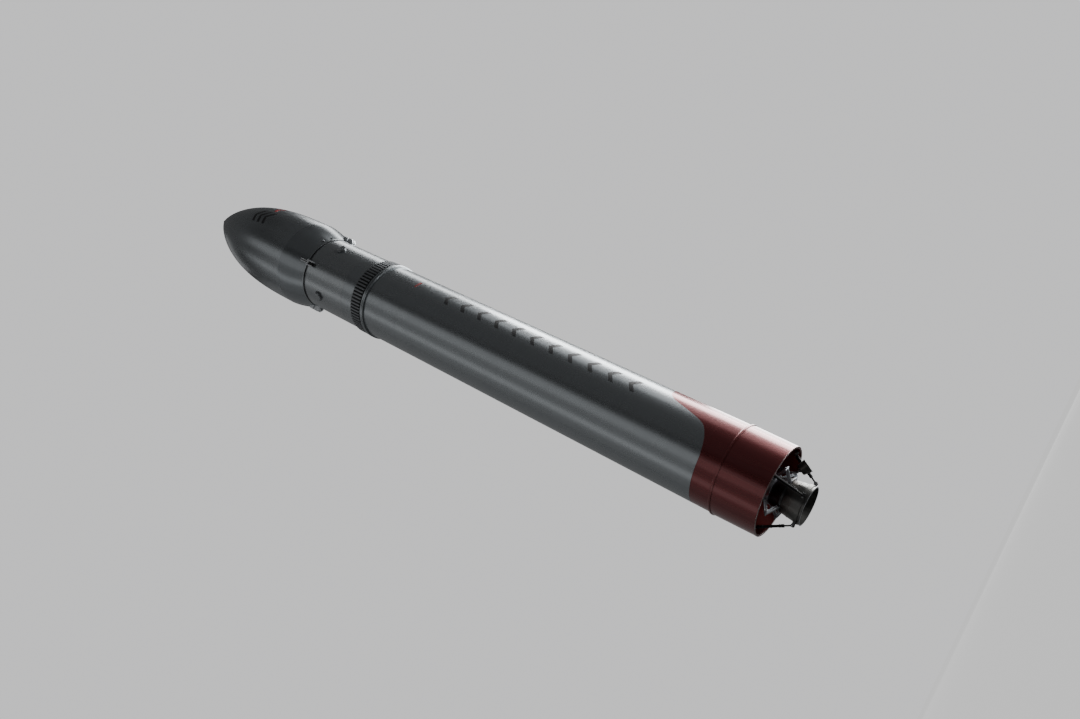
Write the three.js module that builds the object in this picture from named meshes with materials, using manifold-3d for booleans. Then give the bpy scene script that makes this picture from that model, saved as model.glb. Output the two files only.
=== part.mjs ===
// A small two-stage space rocket: red engine skirt with one gimballed engine, long plain tank,
// ribbed ring between the stages, short upper stage and a hammerhead fairing in two hinged halves.
// Millimetres. +Z points to the nose, the origin is the centre of the skirt's aft rim, -Y is the
// front. Angles round the body start at -Y and turn towards +X.
import * as THREE from 'three';
import { mergeVertices } from 'three/addons/utils/BufferGeometryUtils.js';
import Module from 'manifold-3d';

const wasm = await Module();
wasm.setup();

// Driving dimensions
const bodyRadius = 800;
const gap = 0.3;                    // between two pieces that touch
const moveGap = 5;                  // between two pieces that part from each other
const roundSteps = 40;              // facets round the body
const bellSteps = 32;               // facets round the nozzles
const smallSteps = 12;              // facets round pins, rods and pipes
const diagonals = [45, 135, 225, 315];

const skirtTop = 1175;
const skirtSeam = 805;              // height of the raised seam band
const skirtSeamRadius = 812;
const skirtWall = 30;
const tankTop = 8100;
const tankWall = 25;
const flangeLow = 9024;
const interstageLow = 9144;
const interstageTop = 9432;
const upperSkirtTop = 9750;
const upperTankTop = 10950;
const baseRingTop = 10985;
const baseRingRadius = 804;

const fairingLow = baseRingTop + 7;
const fairingLowRadius = 808;
const fairingCrease = 11686;        // where the tapered tail meets the nose
const fairingRadius = 978;
const noseTip = 15187;
const fairingWall = 30;
const splitGap = 6;                 // between the two fairing halves

const ribCount = 72;
const ribShare = 0.6;               // part of each pitch that the rib fills
const ribSlope = 0.06;              // part of each pitch that each of its sides takes
const ribRadius = 828;
const ribRootRadius = 804;

const nozzleExitZ = -516;
const nozzleExitRadius = 332;
const nozzleThroatZ = 560;
const nozzleThroatRadius = 95;
const nozzleFlangeRadius = 140;
const nozzleWall = 12;
const nozzlePower = 1.5;            // the higher, the more of the flare is at the throat
const gimbalZ = 960;

const upperExitZ = 8450;
const upperExitRadius = 300;
const upperThroatZ = 9250;
const upperThroatRadius = 60;
const upperFlangeRadius = 100;
const upperPower = 2.35;

// Each gimbal actuator hangs from a pin inside the skirt and ends at a pin on the nozzle's band.
// The gimbal's axes and the actuators are turned this far from the front.
const gimbalTurn = 17;
const actuatorAngles = [0, 90, 180, 270].map((angle) => angle + gimbalTurn);
const topPin = { r: 700, z: 60 };
const endPin = { r: 395, z: -440 };
const barrelRadius = 28;
const rodRadius = 14;

// Pads on the skirt's inside, each with a radial pin, and the collars that turn on the pins
const pad = { inner: 755, root: 776, halfWidth: 46, halfHeight: 42, pinRadius: 16, pinRoot: 4 };
const collar = { inner: 732, outer: 750, radius: 34, bore: 18.5 };

const hingePin = { r: 856, z: 10950, radius: 12 };

const finishes = {
  silver: { color: 0xa9adb0, roughness: 0.42, metalness: 0.35 },
  red: { color: 0x5c1417, roughness: 0.38, metalness: 0.15 },
  charcoal: { color: 0x3c3e41, roughness: 0.6, metalness: 0.4 },
  gunmetal: { color: 0x2a2b2d, roughness: 0.4, metalness: 0.8 },
  steel: { color: 0xc4c8cc, roughness: 0.22, metalness: 1.0 },
  alloy: { color: 0x8d9195, roughness: 0.45, metalness: 0.8 },
};

const rocket = new THREE.Group();
rocket.name = 'space_rocket';

// Helpers

function finished(name, geometry, finish) {
  const mesh = new THREE.Mesh(geometry, new THREE.MeshStandardMaterial(finishes[finish]));
  mesh.name = name;
  rocket.add(mesh);
  return mesh;
}

// A closed profile of [radius, z] points, turned round Z.
function turned(profile, steps = roundSteps) {
  const points = profile.map(([r, z]) => new THREE.Vector2(r, z));
  if (profile[0][0] > 0) points.push(points[0].clone());
  return new THREE.LatheGeometry(points, steps).rotateX(Math.PI / 2);
}

function tube(outer, inner, low, high, steps = roundSteps) {
  return turned([[outer, low], [outer, high], [inner, high], [inner, low]], steps);
}

function disc(radius, low, high, steps = smallSteps) {
  return turned([[0, low], [radius, low], [radius, high], [0, high]], steps);
}

function box(low, high) {
  const size = high.map((value, i) => value - low[i]);
  const middle = high.map((value, i) => (value + low[i]) / 2);
  return new THREE.BoxGeometry(...size).translate(...middle);
}

// The same box on both sides of X = 0. low and high give it on the +X side.
function boxPair(low, high) {
  return [box(low, high), box([-high[0], low[1], low[2]], [-low[0], high[1], high[2]])];
}

// A round bar from one point to another.
function bar(from, to, radius, steps = smallSteps) {
  const start = new THREE.Vector3(...from);
  const along = new THREE.Vector3(...to).sub(start);
  const up = new THREE.Vector3(0, 1, 0);
  const turn = new THREE.Quaternion().setFromUnitVectors(up, along.clone().normalize());
  const middle = start.clone().addScaledVector(along, 0.5);
  return new THREE.CylinderGeometry(radius, radius, along.length(), steps)
    .applyQuaternion(turn).translate(middle.x, middle.y, middle.z);
}

function solid(geometry) {
  const plain = geometry.clone();
  plain.deleteAttribute('normal');
  plain.deleteAttribute('uv');
  const merged = mergeVertices(plain, 1e-3);
  const source = merged.index.array;
  const corners = [];
  for (let i = 0; i < source.length; i += 3) {
    const [a, b, c] = [source[i], source[i + 1], source[i + 2]];
    if (a !== b && b !== c && c !== a) corners.push(a, b, c);
  }
  const mesh = new wasm.Mesh({
    numProp: 3,
    vertProperties: new Float32Array(merged.attributes.position.array),
    triVerts: new Uint32Array(corners),
  });
  const made = new wasm.Manifold(mesh);
  if (made.volume() > 0) return made;
  for (let i = 0; i < corners.length; i += 3) {
    [corners[i], corners[i + 1]] = [corners[i + 1], corners[i]];
  }
  mesh.triVerts = new Uint32Array(corners);
  return new wasm.Manifold(mesh);
}

function geometryOf(manifold) {
  const mesh = manifold.getMesh();
  const geometry = new THREE.BufferGeometry();
  geometry.setAttribute('position', new THREE.BufferAttribute(new Float32Array(mesh.vertProperties), 3));
  geometry.setIndex(new THREE.BufferAttribute(new Uint32Array(mesh.triVerts), 1));
  geometry.computeVertexNormals();
  return geometry;
}

function joined(parts, cuts = []) {
  let whole = solid(parts[0]);
  for (const part of parts.slice(1)) whole = whole.add(solid(part));
  for (const cut of cuts) whole = whole.subtract(solid(cut));
  return geometryOf(whole);
}

// Points of an elliptic dome, from its rim to its crown.
function domeProfile(radius, rimZ, height, steps = 4) {
  return Array.from({ length: steps + 1 }, (_, i) => {
    const angle = (i / steps) * Math.PI / 2;
    return [i === steps ? 0 : radius * Math.cos(angle), rimZ + height * Math.sin(angle)];
  });
}

// Turns a geometry that was built at the front (-Y) to its angle round the body.
function turnedTo(geometry, degrees) {
  return geometry.rotateZ(THREE.MathUtils.degToRad(degrees));
}

// First stage shells and tank

const seamFade = 30;                // length over which the skirt narrows again above its seam
const skirtInner = bodyRadius - skirtWall;

function actuatorPad(degrees) {
  return [
    box(
      [-pad.halfWidth, -pad.root, topPin.z - pad.halfHeight],
      [pad.halfWidth, -pad.inner, topPin.z + pad.halfHeight],
    ),
    bar([0, -pad.inner - pad.pinRoot, topPin.z], [0, -collar.inner, topPin.z], pad.pinRadius),
  ].map((part) => turnedTo(part, degrees));
}

finished('aft_skirt', joined([
  turned([
    [bodyRadius, 0], [skirtSeamRadius, skirtSeam], [bodyRadius, skirtSeam + seamFade],
    [bodyRadius, skirtTop], [skirtInner, skirtTop], [skirtInner, 0],
  ]),
  ...actuatorAngles.flatMap(actuatorPad),
]), 'red');

const band = { proud: 12, below: 20, above: 12 };
finished('skirt_seam_band', tube(
  skirtSeamRadius + band.proud, skirtSeamRadius + 2 * gap, skirtSeam - band.below, skirtSeam + band.above,
), 'red');

const domeGap = 5;                  // from a dome's rim to the wall around it
const aftDome = 70;
const foreDome = 250;
const tankInner = bodyRadius - tankWall;
finished('first_stage_tank', turned([
  ...domeProfile(skirtInner - domeGap, skirtTop + gap, -aftDome).reverse(),
  [bodyRadius, skirtTop + gap], [bodyRadius, tankTop - gap],
  ...domeProfile(tankInner - domeGap, tankTop - gap, foreDome),
]), 'silver');

finished('forward_skirt', tube(bodyRadius, tankInner, tankTop, interstageLow - gap), 'silver');

// The flange has two raised beads with a groove between them.
// columns: how far it stands out, height over the flange's low edge
const flangeOutline = [[2 * gap, 0], [34, 16], [34, 38], [20, 52], [38, 72], [38, 116], [2 * gap, 116]];
finished('forward_flange', turned(
  flangeOutline.map(([out, height]) => [bodyRadius + out, flangeLow + height]),
), 'silver');

// Ribbed ring between the stages

function ribbedOutline(innerRadius) {
  const pitch = (2 * Math.PI) / ribCount;
  const half = (pitch * ribShare) / 2;
  const foot = half + pitch * ribSlope;
  // columns: angle from the rib's middle, radius
  const corners = [[-foot, ribRootRadius], [-half, ribRadius], [half, ribRadius], [foot, ribRootRadius]];
  const points = Array.from({ length: ribCount }, (_, i) => corners.map(([angle, r]) => (
    new THREE.Vector2(r * Math.sin(i * pitch + angle), -r * Math.cos(i * pitch + angle))
  ))).flat();
  const outline = new THREE.Shape(points);
  outline.holes.push(new THREE.Path().absarc(0, 0, innerRadius, 0, 2 * Math.PI, false));
  return outline;
}

const ring = { outer: bodyRadius + 2, inner: bodyRadius - 28, ribInner: bodyRadius - 16 };
const ribLow = interstageLow + 26;
const ribTop = interstageTop - 14;
const ribs = new THREE.ExtrudeGeometry(ribbedOutline(ring.ribInner), {
  depth: ribTop - ribLow, bevelEnabled: false, curveSegments: 36,
});
finished('ribbed_interstage', joined([
  tube(ring.outer, ring.inner, interstageLow, interstageTop), ribs.translate(0, 0, ribLow),
]), 'charcoal');

// Thrust frame with the fixed half of the gimbal

const frame = {
  low: 1040, top: 1100, ringLow: 1030, ringWidth: 30, beamHalf: 30, hubRadius: 150, hubLow: 1034,
};
const yoke = { inner: 62, outer: 86, halfWidth: 34, reach: 32 };  // the two ears beside the gimbal block
const gimbalPin = { radius: 15, bore: 18, half: 92, cutHalf: 120 };

function beam(degrees) {
  const end = skirtInner - 20;
  return turnedTo(box([-frame.beamHalf, -end, frame.low], [frame.beamHalf, 0, frame.top]), degrees);
}

// A pair of ears on one of the gimbal's two axes, at the given turn.
function ears(low, high, degrees) {
  return boxPair([yoke.inner, -yoke.halfWidth, low], [yoke.outer, yoke.halfWidth, high])
    .map((ear) => turnedTo(ear, degrees));
}

// A bar along one of the gimbal's two axes, at the given turn.
function gimbalBar(half, radius, degrees) {
  return turnedTo(bar([-half, 0, gimbalZ], [half, 0, gimbalZ], radius), degrees);
}

finished('thrust_frame', joined([
  tube(skirtInner - gap, skirtInner - frame.ringWidth, frame.ringLow, frame.top),
  ...diagonals.map(beam),
  disc(frame.hubRadius, frame.hubLow, frame.top),
  ...ears(gimbalZ - yoke.reach, frame.low, gimbalTurn),
], [gimbalBar(gimbalPin.cutHalf, gimbalPin.bore, gimbalTurn)]), 'alloy');

const block = { half: 50, halfHeight: 30 };
const blockLow = [-block.half, -block.half, gimbalZ - block.halfHeight];
const blockHigh = [block.half, block.half, gimbalZ + block.halfHeight];
finished('gimbal_block', joined([
  turnedTo(box(blockLow, blockHigh), gimbalTurn),
  gimbalBar(gimbalPin.half, gimbalPin.radius, gimbalTurn),
  gimbalBar(gimbalPin.half, gimbalPin.radius, gimbalTurn + 90),
]), 'steel');

// Engine

const flangeDepth = 25;             // of the flange above each throat
const engine = { radius: 190, low: nozzleThroatZ + flangeDepth + 1, top: 880 };
finished('engine_block', joined([
  disc(engine.radius, engine.low, engine.top),
  ...ears(engine.top - 10, gimbalZ + yoke.reach, gimbalTurn + 90),
], [gimbalBar(gimbalPin.cutHalf, gimbalPin.bore, gimbalTurn + 90)]), 'alloy');

// Outer radius of a bell: steep at the throat, nearly straight at the exit.
function bellRadius(share, exitRadius, throatRadius, power) {
  return exitRadius - (exitRadius - throatRadius) * share ** power;
}

function bell(exitZ, exitRadius, throatZ, throatRadius, flangeRadius, power) {
  const shares = [0, 0.2, 0.4, 0.6, 0.8, 1];
  const place = (share) => exitZ + (throatZ - exitZ) * share;
  const outside = shares.map((share) => [bellRadius(share, exitRadius, throatRadius, power), place(share)]);
  const inside = outside.map(([r, z]) => [r - nozzleWall, z]);
  return turned([
    ...outside, [flangeRadius, throatZ], [flangeRadius, throatZ + flangeDepth],
    [throatRadius - nozzleWall, throatZ + flangeDepth], ...inside.reverse(),
  ], bellSteps);
}

finished('nozzle_bell', bell(
  nozzleExitZ, nozzleExitRadius, nozzleThroatZ, nozzleThroatRadius, nozzleFlangeRadius, nozzlePower,
), 'gunmetal');

// A ring round the nozzle, about the given height.
function belt({ outer, inner, halfHeight }, middle) {
  return tube(outer, inner, middle - halfHeight, middle + halfHeight, bellSteps);
}

// Band round the nozzle's mouth, with a clevis and pin for each actuator

const endEar = { inner: 30, outer: 42, halfHeight: 22, beyondPin: 20 };
const endPinRadius = 6;
const nozzleBand = { outer: nozzleExitRadius + 12, inner: nozzleExitRadius + 2 * gap, halfHeight: 32 };

function endClevis(degrees) {
  const parts = boxPair(
    [endEar.inner, -endPin.r - endEar.beyondPin, endPin.z - endEar.halfHeight],
    [endEar.outer, -nozzleExitRadius - 5, endPin.z + endEar.halfHeight],
  );
  parts.push(bar([-endEar.outer, -endPin.r, endPin.z], [endEar.outer, -endPin.r, endPin.z], endPinRadius));
  return parts.map((part) => turnedTo(part, degrees));
}

finished('nozzle_band', joined([
  belt(nozzleBand, endPin.z),
  ...actuatorAngles.flatMap(endClevis),
], [disc(nozzleBand.inner, endPin.z - 100, endPin.z + 100, bellSteps)]), 'gunmetal');

// Frame of bright brackets round the nozzle. Each is a V-shaped plate that points outwards.

const upperBelt = { outer: 259, inner: 240, halfHeight: 45 };
const upperBeltZ = 115;
const lowerBelt = { outer: 304, inner: 288, halfHeight: 22 };
const lowerBeltZ = -137;
const bracketHalf = 18;
const bracketPin = { r: 545, z: -45, radius: 16, half: 55 };
// columns: distance from the axis, z
const bracketOutline = [
  [252, 151], [555, -28], [572, -46], [552, -64], [294, -157], [294, -115], [499, -40], [252, 105],
];

// A flat plate in the plane of X = 0 at the front. Its outline gives distances from the axis and heights.
function uprightPlate(corners, half) {
  const outline = new THREE.Shape();
  corners.forEach(([r, z], i) => (i === 0 ? outline.moveTo(-r, z) : outline.lineTo(-r, z)));
  outline.closePath();
  const plate = new THREE.ExtrudeGeometry(outline, { depth: 2 * half, bevelEnabled: false });
  // The outline lies in X and Y here, so X becomes Y and Y becomes Z.
  return plate.rotateX(Math.PI / 2).rotateZ(Math.PI / 2).translate(-half, 0, 0);
}

function bracket(degrees) {
  const { r, z, radius, half } = bracketPin;
  return [uprightPlate(bracketOutline, bracketHalf), bar([-half, -r, z], [half, -r, z], radius)]
    .map((part) => turnedTo(part, degrees));
}

finished('strut_frame', joined([
  belt(upperBelt, upperBeltZ),
  belt(lowerBelt, lowerBeltZ),
  ...diagonals.flatMap(bracket),
]), 'steel');

// Turbine exhaust: a pipe down the side of the nozzle that ends in a flared mouth beside the rim

const ductMouth = new THREE.Vector3(580, -150, -268);
const ductAim = new THREE.Vector3(0.852, 0.07, -0.519).normalize();
const duct = { pipeRadius: 18, backRadius: 92, mouthRadius: 112, length: 150, wall: 8, round: 14, floor: 30 };
const flareStart = ductMouth.clone().addScaledVector(ductAim, -duct.length);

function ductPipe() {
  const route = new THREE.CatmullRomCurve3([
    new THREE.Vector3(120, -60, 730),
    new THREE.Vector3(250, -110, 690),
    new THREE.Vector3(348, -122, 540),
    new THREE.Vector3(358, -125, 260),
    new THREE.Vector3(354, -132, 80),
    new THREE.Vector3(364, -145, -60),
    new THREE.Vector3(399, -157, -148),
    flareStart.clone().addScaledVector(ductAim, 10),
  ]);
  const section = new THREE.Shape().absarc(0, 0, duct.pipeRadius, 0, 2 * Math.PI, false);
  return new THREE.ExtrudeGeometry(section, { steps: 16, curveSegments: smallSteps, extrudePath: route });
}

function ductFlare() {
  const flare = turned([
    [0, 0], [duct.backRadius - duct.round, 0], [duct.backRadius, duct.round], [duct.mouthRadius, duct.length],
    [duct.mouthRadius - duct.wall, duct.length], [duct.backRadius - duct.wall, duct.floor], [0, duct.floor],
  ], smallSteps);
  const turn = new THREE.Quaternion().setFromUnitVectors(new THREE.Vector3(0, 0, 1), ductAim);
  return flare.applyQuaternion(turn).translate(flareStart.x, flareStart.y, flareStart.z);
}

finished('exhaust_duct', joined(
  [ductPipe(), ductFlare()], [disc(engine.radius + 2 * gap, engine.low - 200, engine.top + 20)],
), 'gunmetal');

// Actuators: a swivel on the radial pin, a barrel hung in the swivel, and a rod in the barrel

const cheek = { inner: 28, outer: 42, halfHeight: 22, beyondPin: 18, pinRadius: 10 };
const reach = Math.hypot(topPin.r - endPin.r, topPin.z - endPin.z);
const lean = Math.atan2(topPin.r - endPin.r, topPin.z - endPin.z);
const barrel = { start: 20, shoulder: 22, step: 10, end: 460, boreStart: 205, clearance: 4 };
const barrelEye = { radius: 26, half: 22, bore: 13 };
const rod = { start: 300, overlap: 6 };
const rodEye = { radius: 33, half: 12, bore: 25.5 };

// Turns a piece built along -Z from the top pin so that it reaches the pin on the nozzle.
function hung(geometry) {
  return geometry.rotateX(lean).translate(0, -topPin.r, topPin.z);
}

function swivelShape() {
  const low = topPin.z - cheek.halfHeight;
  const high = topPin.z + cheek.halfHeight;
  return joined([
    bar([0, -collar.outer, topPin.z], [0, -collar.inner, topPin.z], collar.radius),
    ...boxPair([cheek.inner, -collar.outer, low], [cheek.outer, -topPin.r + cheek.beyondPin, high]),
    box([-cheek.outer, -collar.outer, low], [cheek.outer, -collar.inner, high]),
    bar([-cheek.outer, -topPin.r, topPin.z], [cheek.outer, -topPin.r, topPin.z], cheek.pinRadius),
  ], [bar([0, -collar.outer - 5, topPin.z], [0, -collar.inner + 2, topPin.z], collar.bore)]);
}

function barrelShape() {
  const eye = bar([-barrelEye.half, 0, 0], [barrelEye.half, 0, 0], barrelEye.radius);
  const body = turned([
    [0, -barrel.end], [barrelRadius, -barrel.end], [barrelRadius, -barrel.start - barrel.shoulder],
    [barrelRadius - barrel.step, -barrel.start], [0, -barrel.start],
  ], smallSteps);
  const eyeBore = bar([-barrelEye.half - 8, 0, 0], [barrelEye.half + 8, 0, 0], barrelEye.bore);
  const rodBore = disc(rodRadius + barrel.clearance, -barrel.end - 10, -barrel.boreStart);
  return hung(joined([eye, body], [eyeBore, rodBore]));
}

function rodShape() {
  const eye = bar([-rodEye.half, 0, -reach], [rodEye.half, 0, -reach], rodEye.radius);
  const shaft = bar([0, 0, -reach + rodEye.radius - rod.overlap], [0, 0, -rod.start], rodRadius);
  const bore = bar([-rodEye.half - 4, 0, -reach], [rodEye.half + 4, 0, -reach], rodEye.bore);
  return hung(joined([shaft, eye], [bore]));
}

actuatorAngles.forEach((angle, i) => {
  finished(`actuator_swivel_${i + 1}`, turnedTo(swivelShape(), angle), 'alloy');
  finished(`actuator_barrel_${i + 1}`, turnedTo(barrelShape(), angle), 'gunmetal');
  finished(`actuator_rod_${i + 1}`, turnedTo(rodShape(), angle), 'gunmetal');
});

// Second stage

const upperSkirtLow = interstageTop + moveGap;
finished('second_stage_skirt', tube(bodyRadius, tankInner, upperSkirtLow, upperSkirtTop), 'silver');

const upperDome = 190;
finished('second_stage_tank', turned([
  ...domeProfile(tankInner - domeGap, upperSkirtTop + gap, -upperDome).reverse(),
  [bodyRadius, upperSkirtTop + gap], [bodyRadius, upperTankTop - gap], [0, upperTankTop - gap],
]), 'silver');

const upperEngine = { radius: 130, low: upperThroatZ + flangeDepth + 1, top: upperSkirtTop - upperDome - 1 };
finished('second_stage_engine', disc(upperEngine.radius, upperEngine.low, upperEngine.top), 'alloy');

finished('second_stage_nozzle', bell(
  upperExitZ, upperExitRadius, upperThroatZ, upperThroatRadius, upperFlangeRadius, upperPower,
), 'gunmetal');

finished('fairing_base_ring', disc(baseRingRadius, upperTankTop, baseRingTop, roundSteps), 'silver');

const adapter = { footRadius: 620, footDepth: 25, waist: 330, top: 11370, topRadius: 360, topDepth: 30 };
const adapterLow = baseRingTop + gap;
finished('payload_adapter', turned([
  [0, adapterLow], [adapter.footRadius, adapterLow], [adapter.footRadius, baseRingTop + adapter.footDepth],
  [adapter.waist, adapter.top - adapter.topDepth], [adapter.topRadius, adapter.top - adapter.topDepth],
  [adapter.topRadius, adapter.top], [0, adapter.top],
], bellSteps), 'alloy');

// What the fittings outside the second stage must keep clear of
const stageClear = turned([
  [0, upperSkirtLow], [bodyRadius + 2 * gap, upperSkirtLow], [bodyRadius + 2 * gap, upperTankTop - 2 * gap],
  [baseRingRadius + 2 * gap, upperTankTop - 2 * gap], [baseRingRadius + 2 * gap, baseRingTop + 10],
  [0, baseRingTop + 10],
]);

// Low arrow-shaped thruster pods on the diagonals

const podMiddle = { r: 850, z: 10480, depth: 90 };

function pod() {
  const outline = new THREE.Shape();
  // columns: across, along
  const corners = [[-120, 62], [-60, 105], [0, 62], [60, 105], [120, 62], [96, -30], [0, -105], [-96, -30]];
  corners.forEach(([x, z], i) => (i === 0 ? outline.moveTo(x, z) : outline.lineTo(x, z)));
  outline.closePath();
  const plate = new THREE.ExtrudeGeometry(outline, { depth: podMiddle.depth, bevelEnabled: false });
  plate.rotateX(Math.PI / 2).translate(0, -podMiddle.r + podMiddle.depth, podMiddle.z);
  return joined([plate], [stageClear]);
}

diagonals.forEach((angle, i) => finished(`thruster_pod_${i + 1}`, turnedTo(pod(), angle), 'silver'));

// Fixed halves of the fairing hinges, at the front and the back

const hinge = { half: 62, armHalf: 28, cheekGap: 6, low: 10800, floor: 35, cheekTop: 25, outer: 884 };

function hingeBase() {
  const inner = -bodyRadius + 5;
  const cheekInner = hinge.armHalf + hinge.cheekGap;
  return joined([
    box([-hinge.half, -hinge.outer, hinge.low], [hinge.half, inner, hingePin.z - hinge.floor]),
    ...boxPair([cheekInner, -hinge.outer, hinge.low], [hinge.half, inner, hingePin.z + hinge.cheekTop]),
    bar([-hinge.half, -hingePin.r, hingePin.z], [hinge.half, -hingePin.r, hingePin.z], hingePin.radius),
  ], [stageClear]);
}

finished('front_hinge_base', hingeBase(), 'silver');
finished('back_hinge_base', turnedTo(hingeBase(), 180), 'silver');

// Fixed halves of the side latches

const latch = { halfWidth: 62, low: 10810, high: 10978, outer: 905 };

function latchBase() {
  return joined([
    box([-latch.halfWidth, -latch.outer, latch.low], [latch.halfWidth, 10 - bodyRadius, latch.high]),
  ], [stageClear]);
}

finished('right_latch_base', turnedTo(latchBase(), 90), 'silver');
finished('left_latch_base', turnedTo(latchBase(), 270), 'silver');

// Fairing

// Radius of the nose at a share of its length, 0 at the crease and 1 at the tip
function noseRadius(share) {
  return fairingRadius * (1 - share ** 2.98) ** 1.02;
}

// Radius of the tail at a share of its length, 0 at the crease and 1 at its low end
function tailRadius(share) {
  return fairingRadius - (fairingRadius - fairingLowRadius) * share ** 1.5;
}

const noseLength = noseTip - fairingCrease;
const noseShares = [0.18, 0.36, 0.52, 0.66, 0.78, 0.88, 0.95, 0.98];
const tailRim = 8;                  // height of the straight rim at the tail's low end
const tailLength = fairingCrease - fairingLow - tailRim;
const tailShares = [1, 0.8, 0.6, 0.4, 0.2, 0];
const insideRim = 16;

function fairingPoints(grow) {
  return [
    ...tailShares.map((share) => [tailRadius(share) + grow, fairingCrease - tailLength * share]),
    ...noseShares.map((share) => [noseRadius(share) + grow, fairingCrease + noseLength * share]),
  ];
}

function fairingOutside(grow) {
  const tip = 12;
  return [
    [fairingLowRadius + grow, fairingLow], ...fairingPoints(grow),
    [(noseRadius(noseShares.at(-1)) + grow) * 0.6, noseTip - tip], [0, noseTip + grow],
  ];
}

function fairingShell() {
  const hollow = solid(turned([
    [0, fairingLow - 20], [fairingLowRadius - fairingWall, fairingLow - 20],
    [fairingLowRadius - fairingWall, fairingLow + insideRim], ...fairingPoints(-fairingWall).slice(1, -1),
    [0, fairingCrease + noseLength * noseShares.at(-2)],
  ]));
  return solid(turned([[0, fairingLow], ...fairingOutside(0)])).subtract(hollow);
}

// Each half has an ear at both sides that stands over the latch.
function fairingHalf() {
  const beyond = 1100;
  const half = solid(box([-beyond, -beyond, fairingLow - 50], [beyond, -splitGap / 2, noseTip + 50]));
  const ear = { low: fairingLow + 20, top: 11130, inner: fairingLowRadius - 6 };
  const sides = boxPair([ear.inner, -latch.halfWidth, ear.low], [latch.outer, latch.halfWidth, ear.top]);
  let shell = fairingShell();
  for (const side of sides) shell = shell.add(solid(side));
  return geometryOf(shell.intersect(half));
}

finished('fairing_front', fairingHalf(), 'silver');
finished('fairing_back', turnedTo(fairingHalf(), 180), 'silver');

// Arms of the hinges, up the outside of the fairing's tail
function hingeArm() {
  const boss = 24;
  const bore = hingePin.radius + 2;
  const armTop = 11165;
  // columns: distance from the axis, z
  const corners = [
    [hingePin.r - 20, hingePin.z], [hingePin.r + boss, hingePin.z], [hingePin.r + 30, hingePin.z + 70],
    [latch.outer, armTop - 40], [latch.outer - 12, armTop], [840, armTop],
    [fairingLowRadius - 18, fairingLow + 10], [fairingLowRadius + 7, fairingLow - 4],
  ];
  const across = (half, radius) => bar(
    [-half, -hingePin.r, hingePin.z], [half, -hingePin.r, hingePin.z], radius,
  );
  return joined([uprightPlate(corners, hinge.armHalf), across(hinge.armHalf, boss)], [
    across(hinge.armHalf + 5, bore), turned([[0, fairingLow - 5], ...fairingOutside(2 * gap)]),
  ]);
}

finished('front_hinge_arm', hingeArm(), 'silver');
finished('back_hinge_arm', turnedTo(hingeArm(), 180), 'silver');

export default rocket;
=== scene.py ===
import math

import bmesh
import bpy
from mathutils import Matrix, Vector


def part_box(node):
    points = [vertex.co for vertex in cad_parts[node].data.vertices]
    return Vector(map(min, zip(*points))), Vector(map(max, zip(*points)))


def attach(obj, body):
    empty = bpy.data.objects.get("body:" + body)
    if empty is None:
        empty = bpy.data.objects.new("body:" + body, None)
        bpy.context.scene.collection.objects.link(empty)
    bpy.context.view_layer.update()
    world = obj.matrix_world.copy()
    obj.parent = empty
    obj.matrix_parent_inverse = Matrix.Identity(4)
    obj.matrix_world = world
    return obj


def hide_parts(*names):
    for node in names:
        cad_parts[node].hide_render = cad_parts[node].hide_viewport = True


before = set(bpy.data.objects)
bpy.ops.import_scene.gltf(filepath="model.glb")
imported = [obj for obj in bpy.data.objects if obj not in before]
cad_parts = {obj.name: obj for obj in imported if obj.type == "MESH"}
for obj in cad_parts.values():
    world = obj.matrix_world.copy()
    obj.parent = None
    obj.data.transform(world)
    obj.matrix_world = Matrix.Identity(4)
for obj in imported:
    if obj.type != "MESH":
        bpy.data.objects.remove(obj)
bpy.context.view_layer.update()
print("frame loaded with", len(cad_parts), "nodes")

# A small two-stage space rocket. Metres, nose up +Z, front -Y.
# Angles round the body are degrees from the front, turning towards +X.
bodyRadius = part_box("first_stage_tank")[1].x
# Lays a ring's axis along X
sideways = Matrix.Rotation(math.pi / 2, 4, "Y")
# Turns what is built upwards to face the front
frontwards = Matrix.Rotation(math.pi / 2, 4, "X")
# Stands an outline of (Y, height) points up in the plane of X = 0, with its thickness along X
upright = Matrix(((0, 0, 1, 0), (1, 0, 0, 0), (0, 1, 0, 0), (0, 0, 0, 1)))
# Edges that turn by more than this stay sharp
sharpEdge = math.radians(32)
# How deep an added part sits in what carries it: thin, usual and heavy parts
thinLap, lap, deepLap = 0.001, 0.002, 0.004


def nodeSpan(node):
    low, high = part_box(node)
    return low.z, high.z


def onBody(degrees, radius, height):
    turn = math.radians(degrees)
    return Vector((radius * math.sin(turn), -radius * math.cos(turn), height))


def turnAbout(degrees):
    return Matrix.Rotation(math.radians(degrees), 4, "Z")


def moved(x, y, z):
    return Matrix.Translation((x, y, z))


def aimAlong(direction, axis="Z"):
    return direction.to_track_quat(axis, "Y").to_matrix().to_4x4()


# Shapes

# Swaps each corner of a profile for a short arc. Corners on the long axis stay.
def softened(points, radius, steps):
    rounded = []
    corners = [Vector(point) for point in points]
    for before, corner, after in zip(corners[-1:] + corners[:-1], corners, corners[1:] + corners[:1]):
        if corner.x < 1e-6:
            rounded.append(corner)
            continue
        back, onward = before - corner, after - corner
        start = corner + back.normalized() * min(radius, back.length * 0.45)
        end = corner + onward.normalized() * min(radius, onward.length * 0.45)
        for i in range(steps + 1):
            share = i / steps
            rounded.append(start.lerp(corner, share).lerp(corner.lerp(end, share), share))
    return rounded


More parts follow.
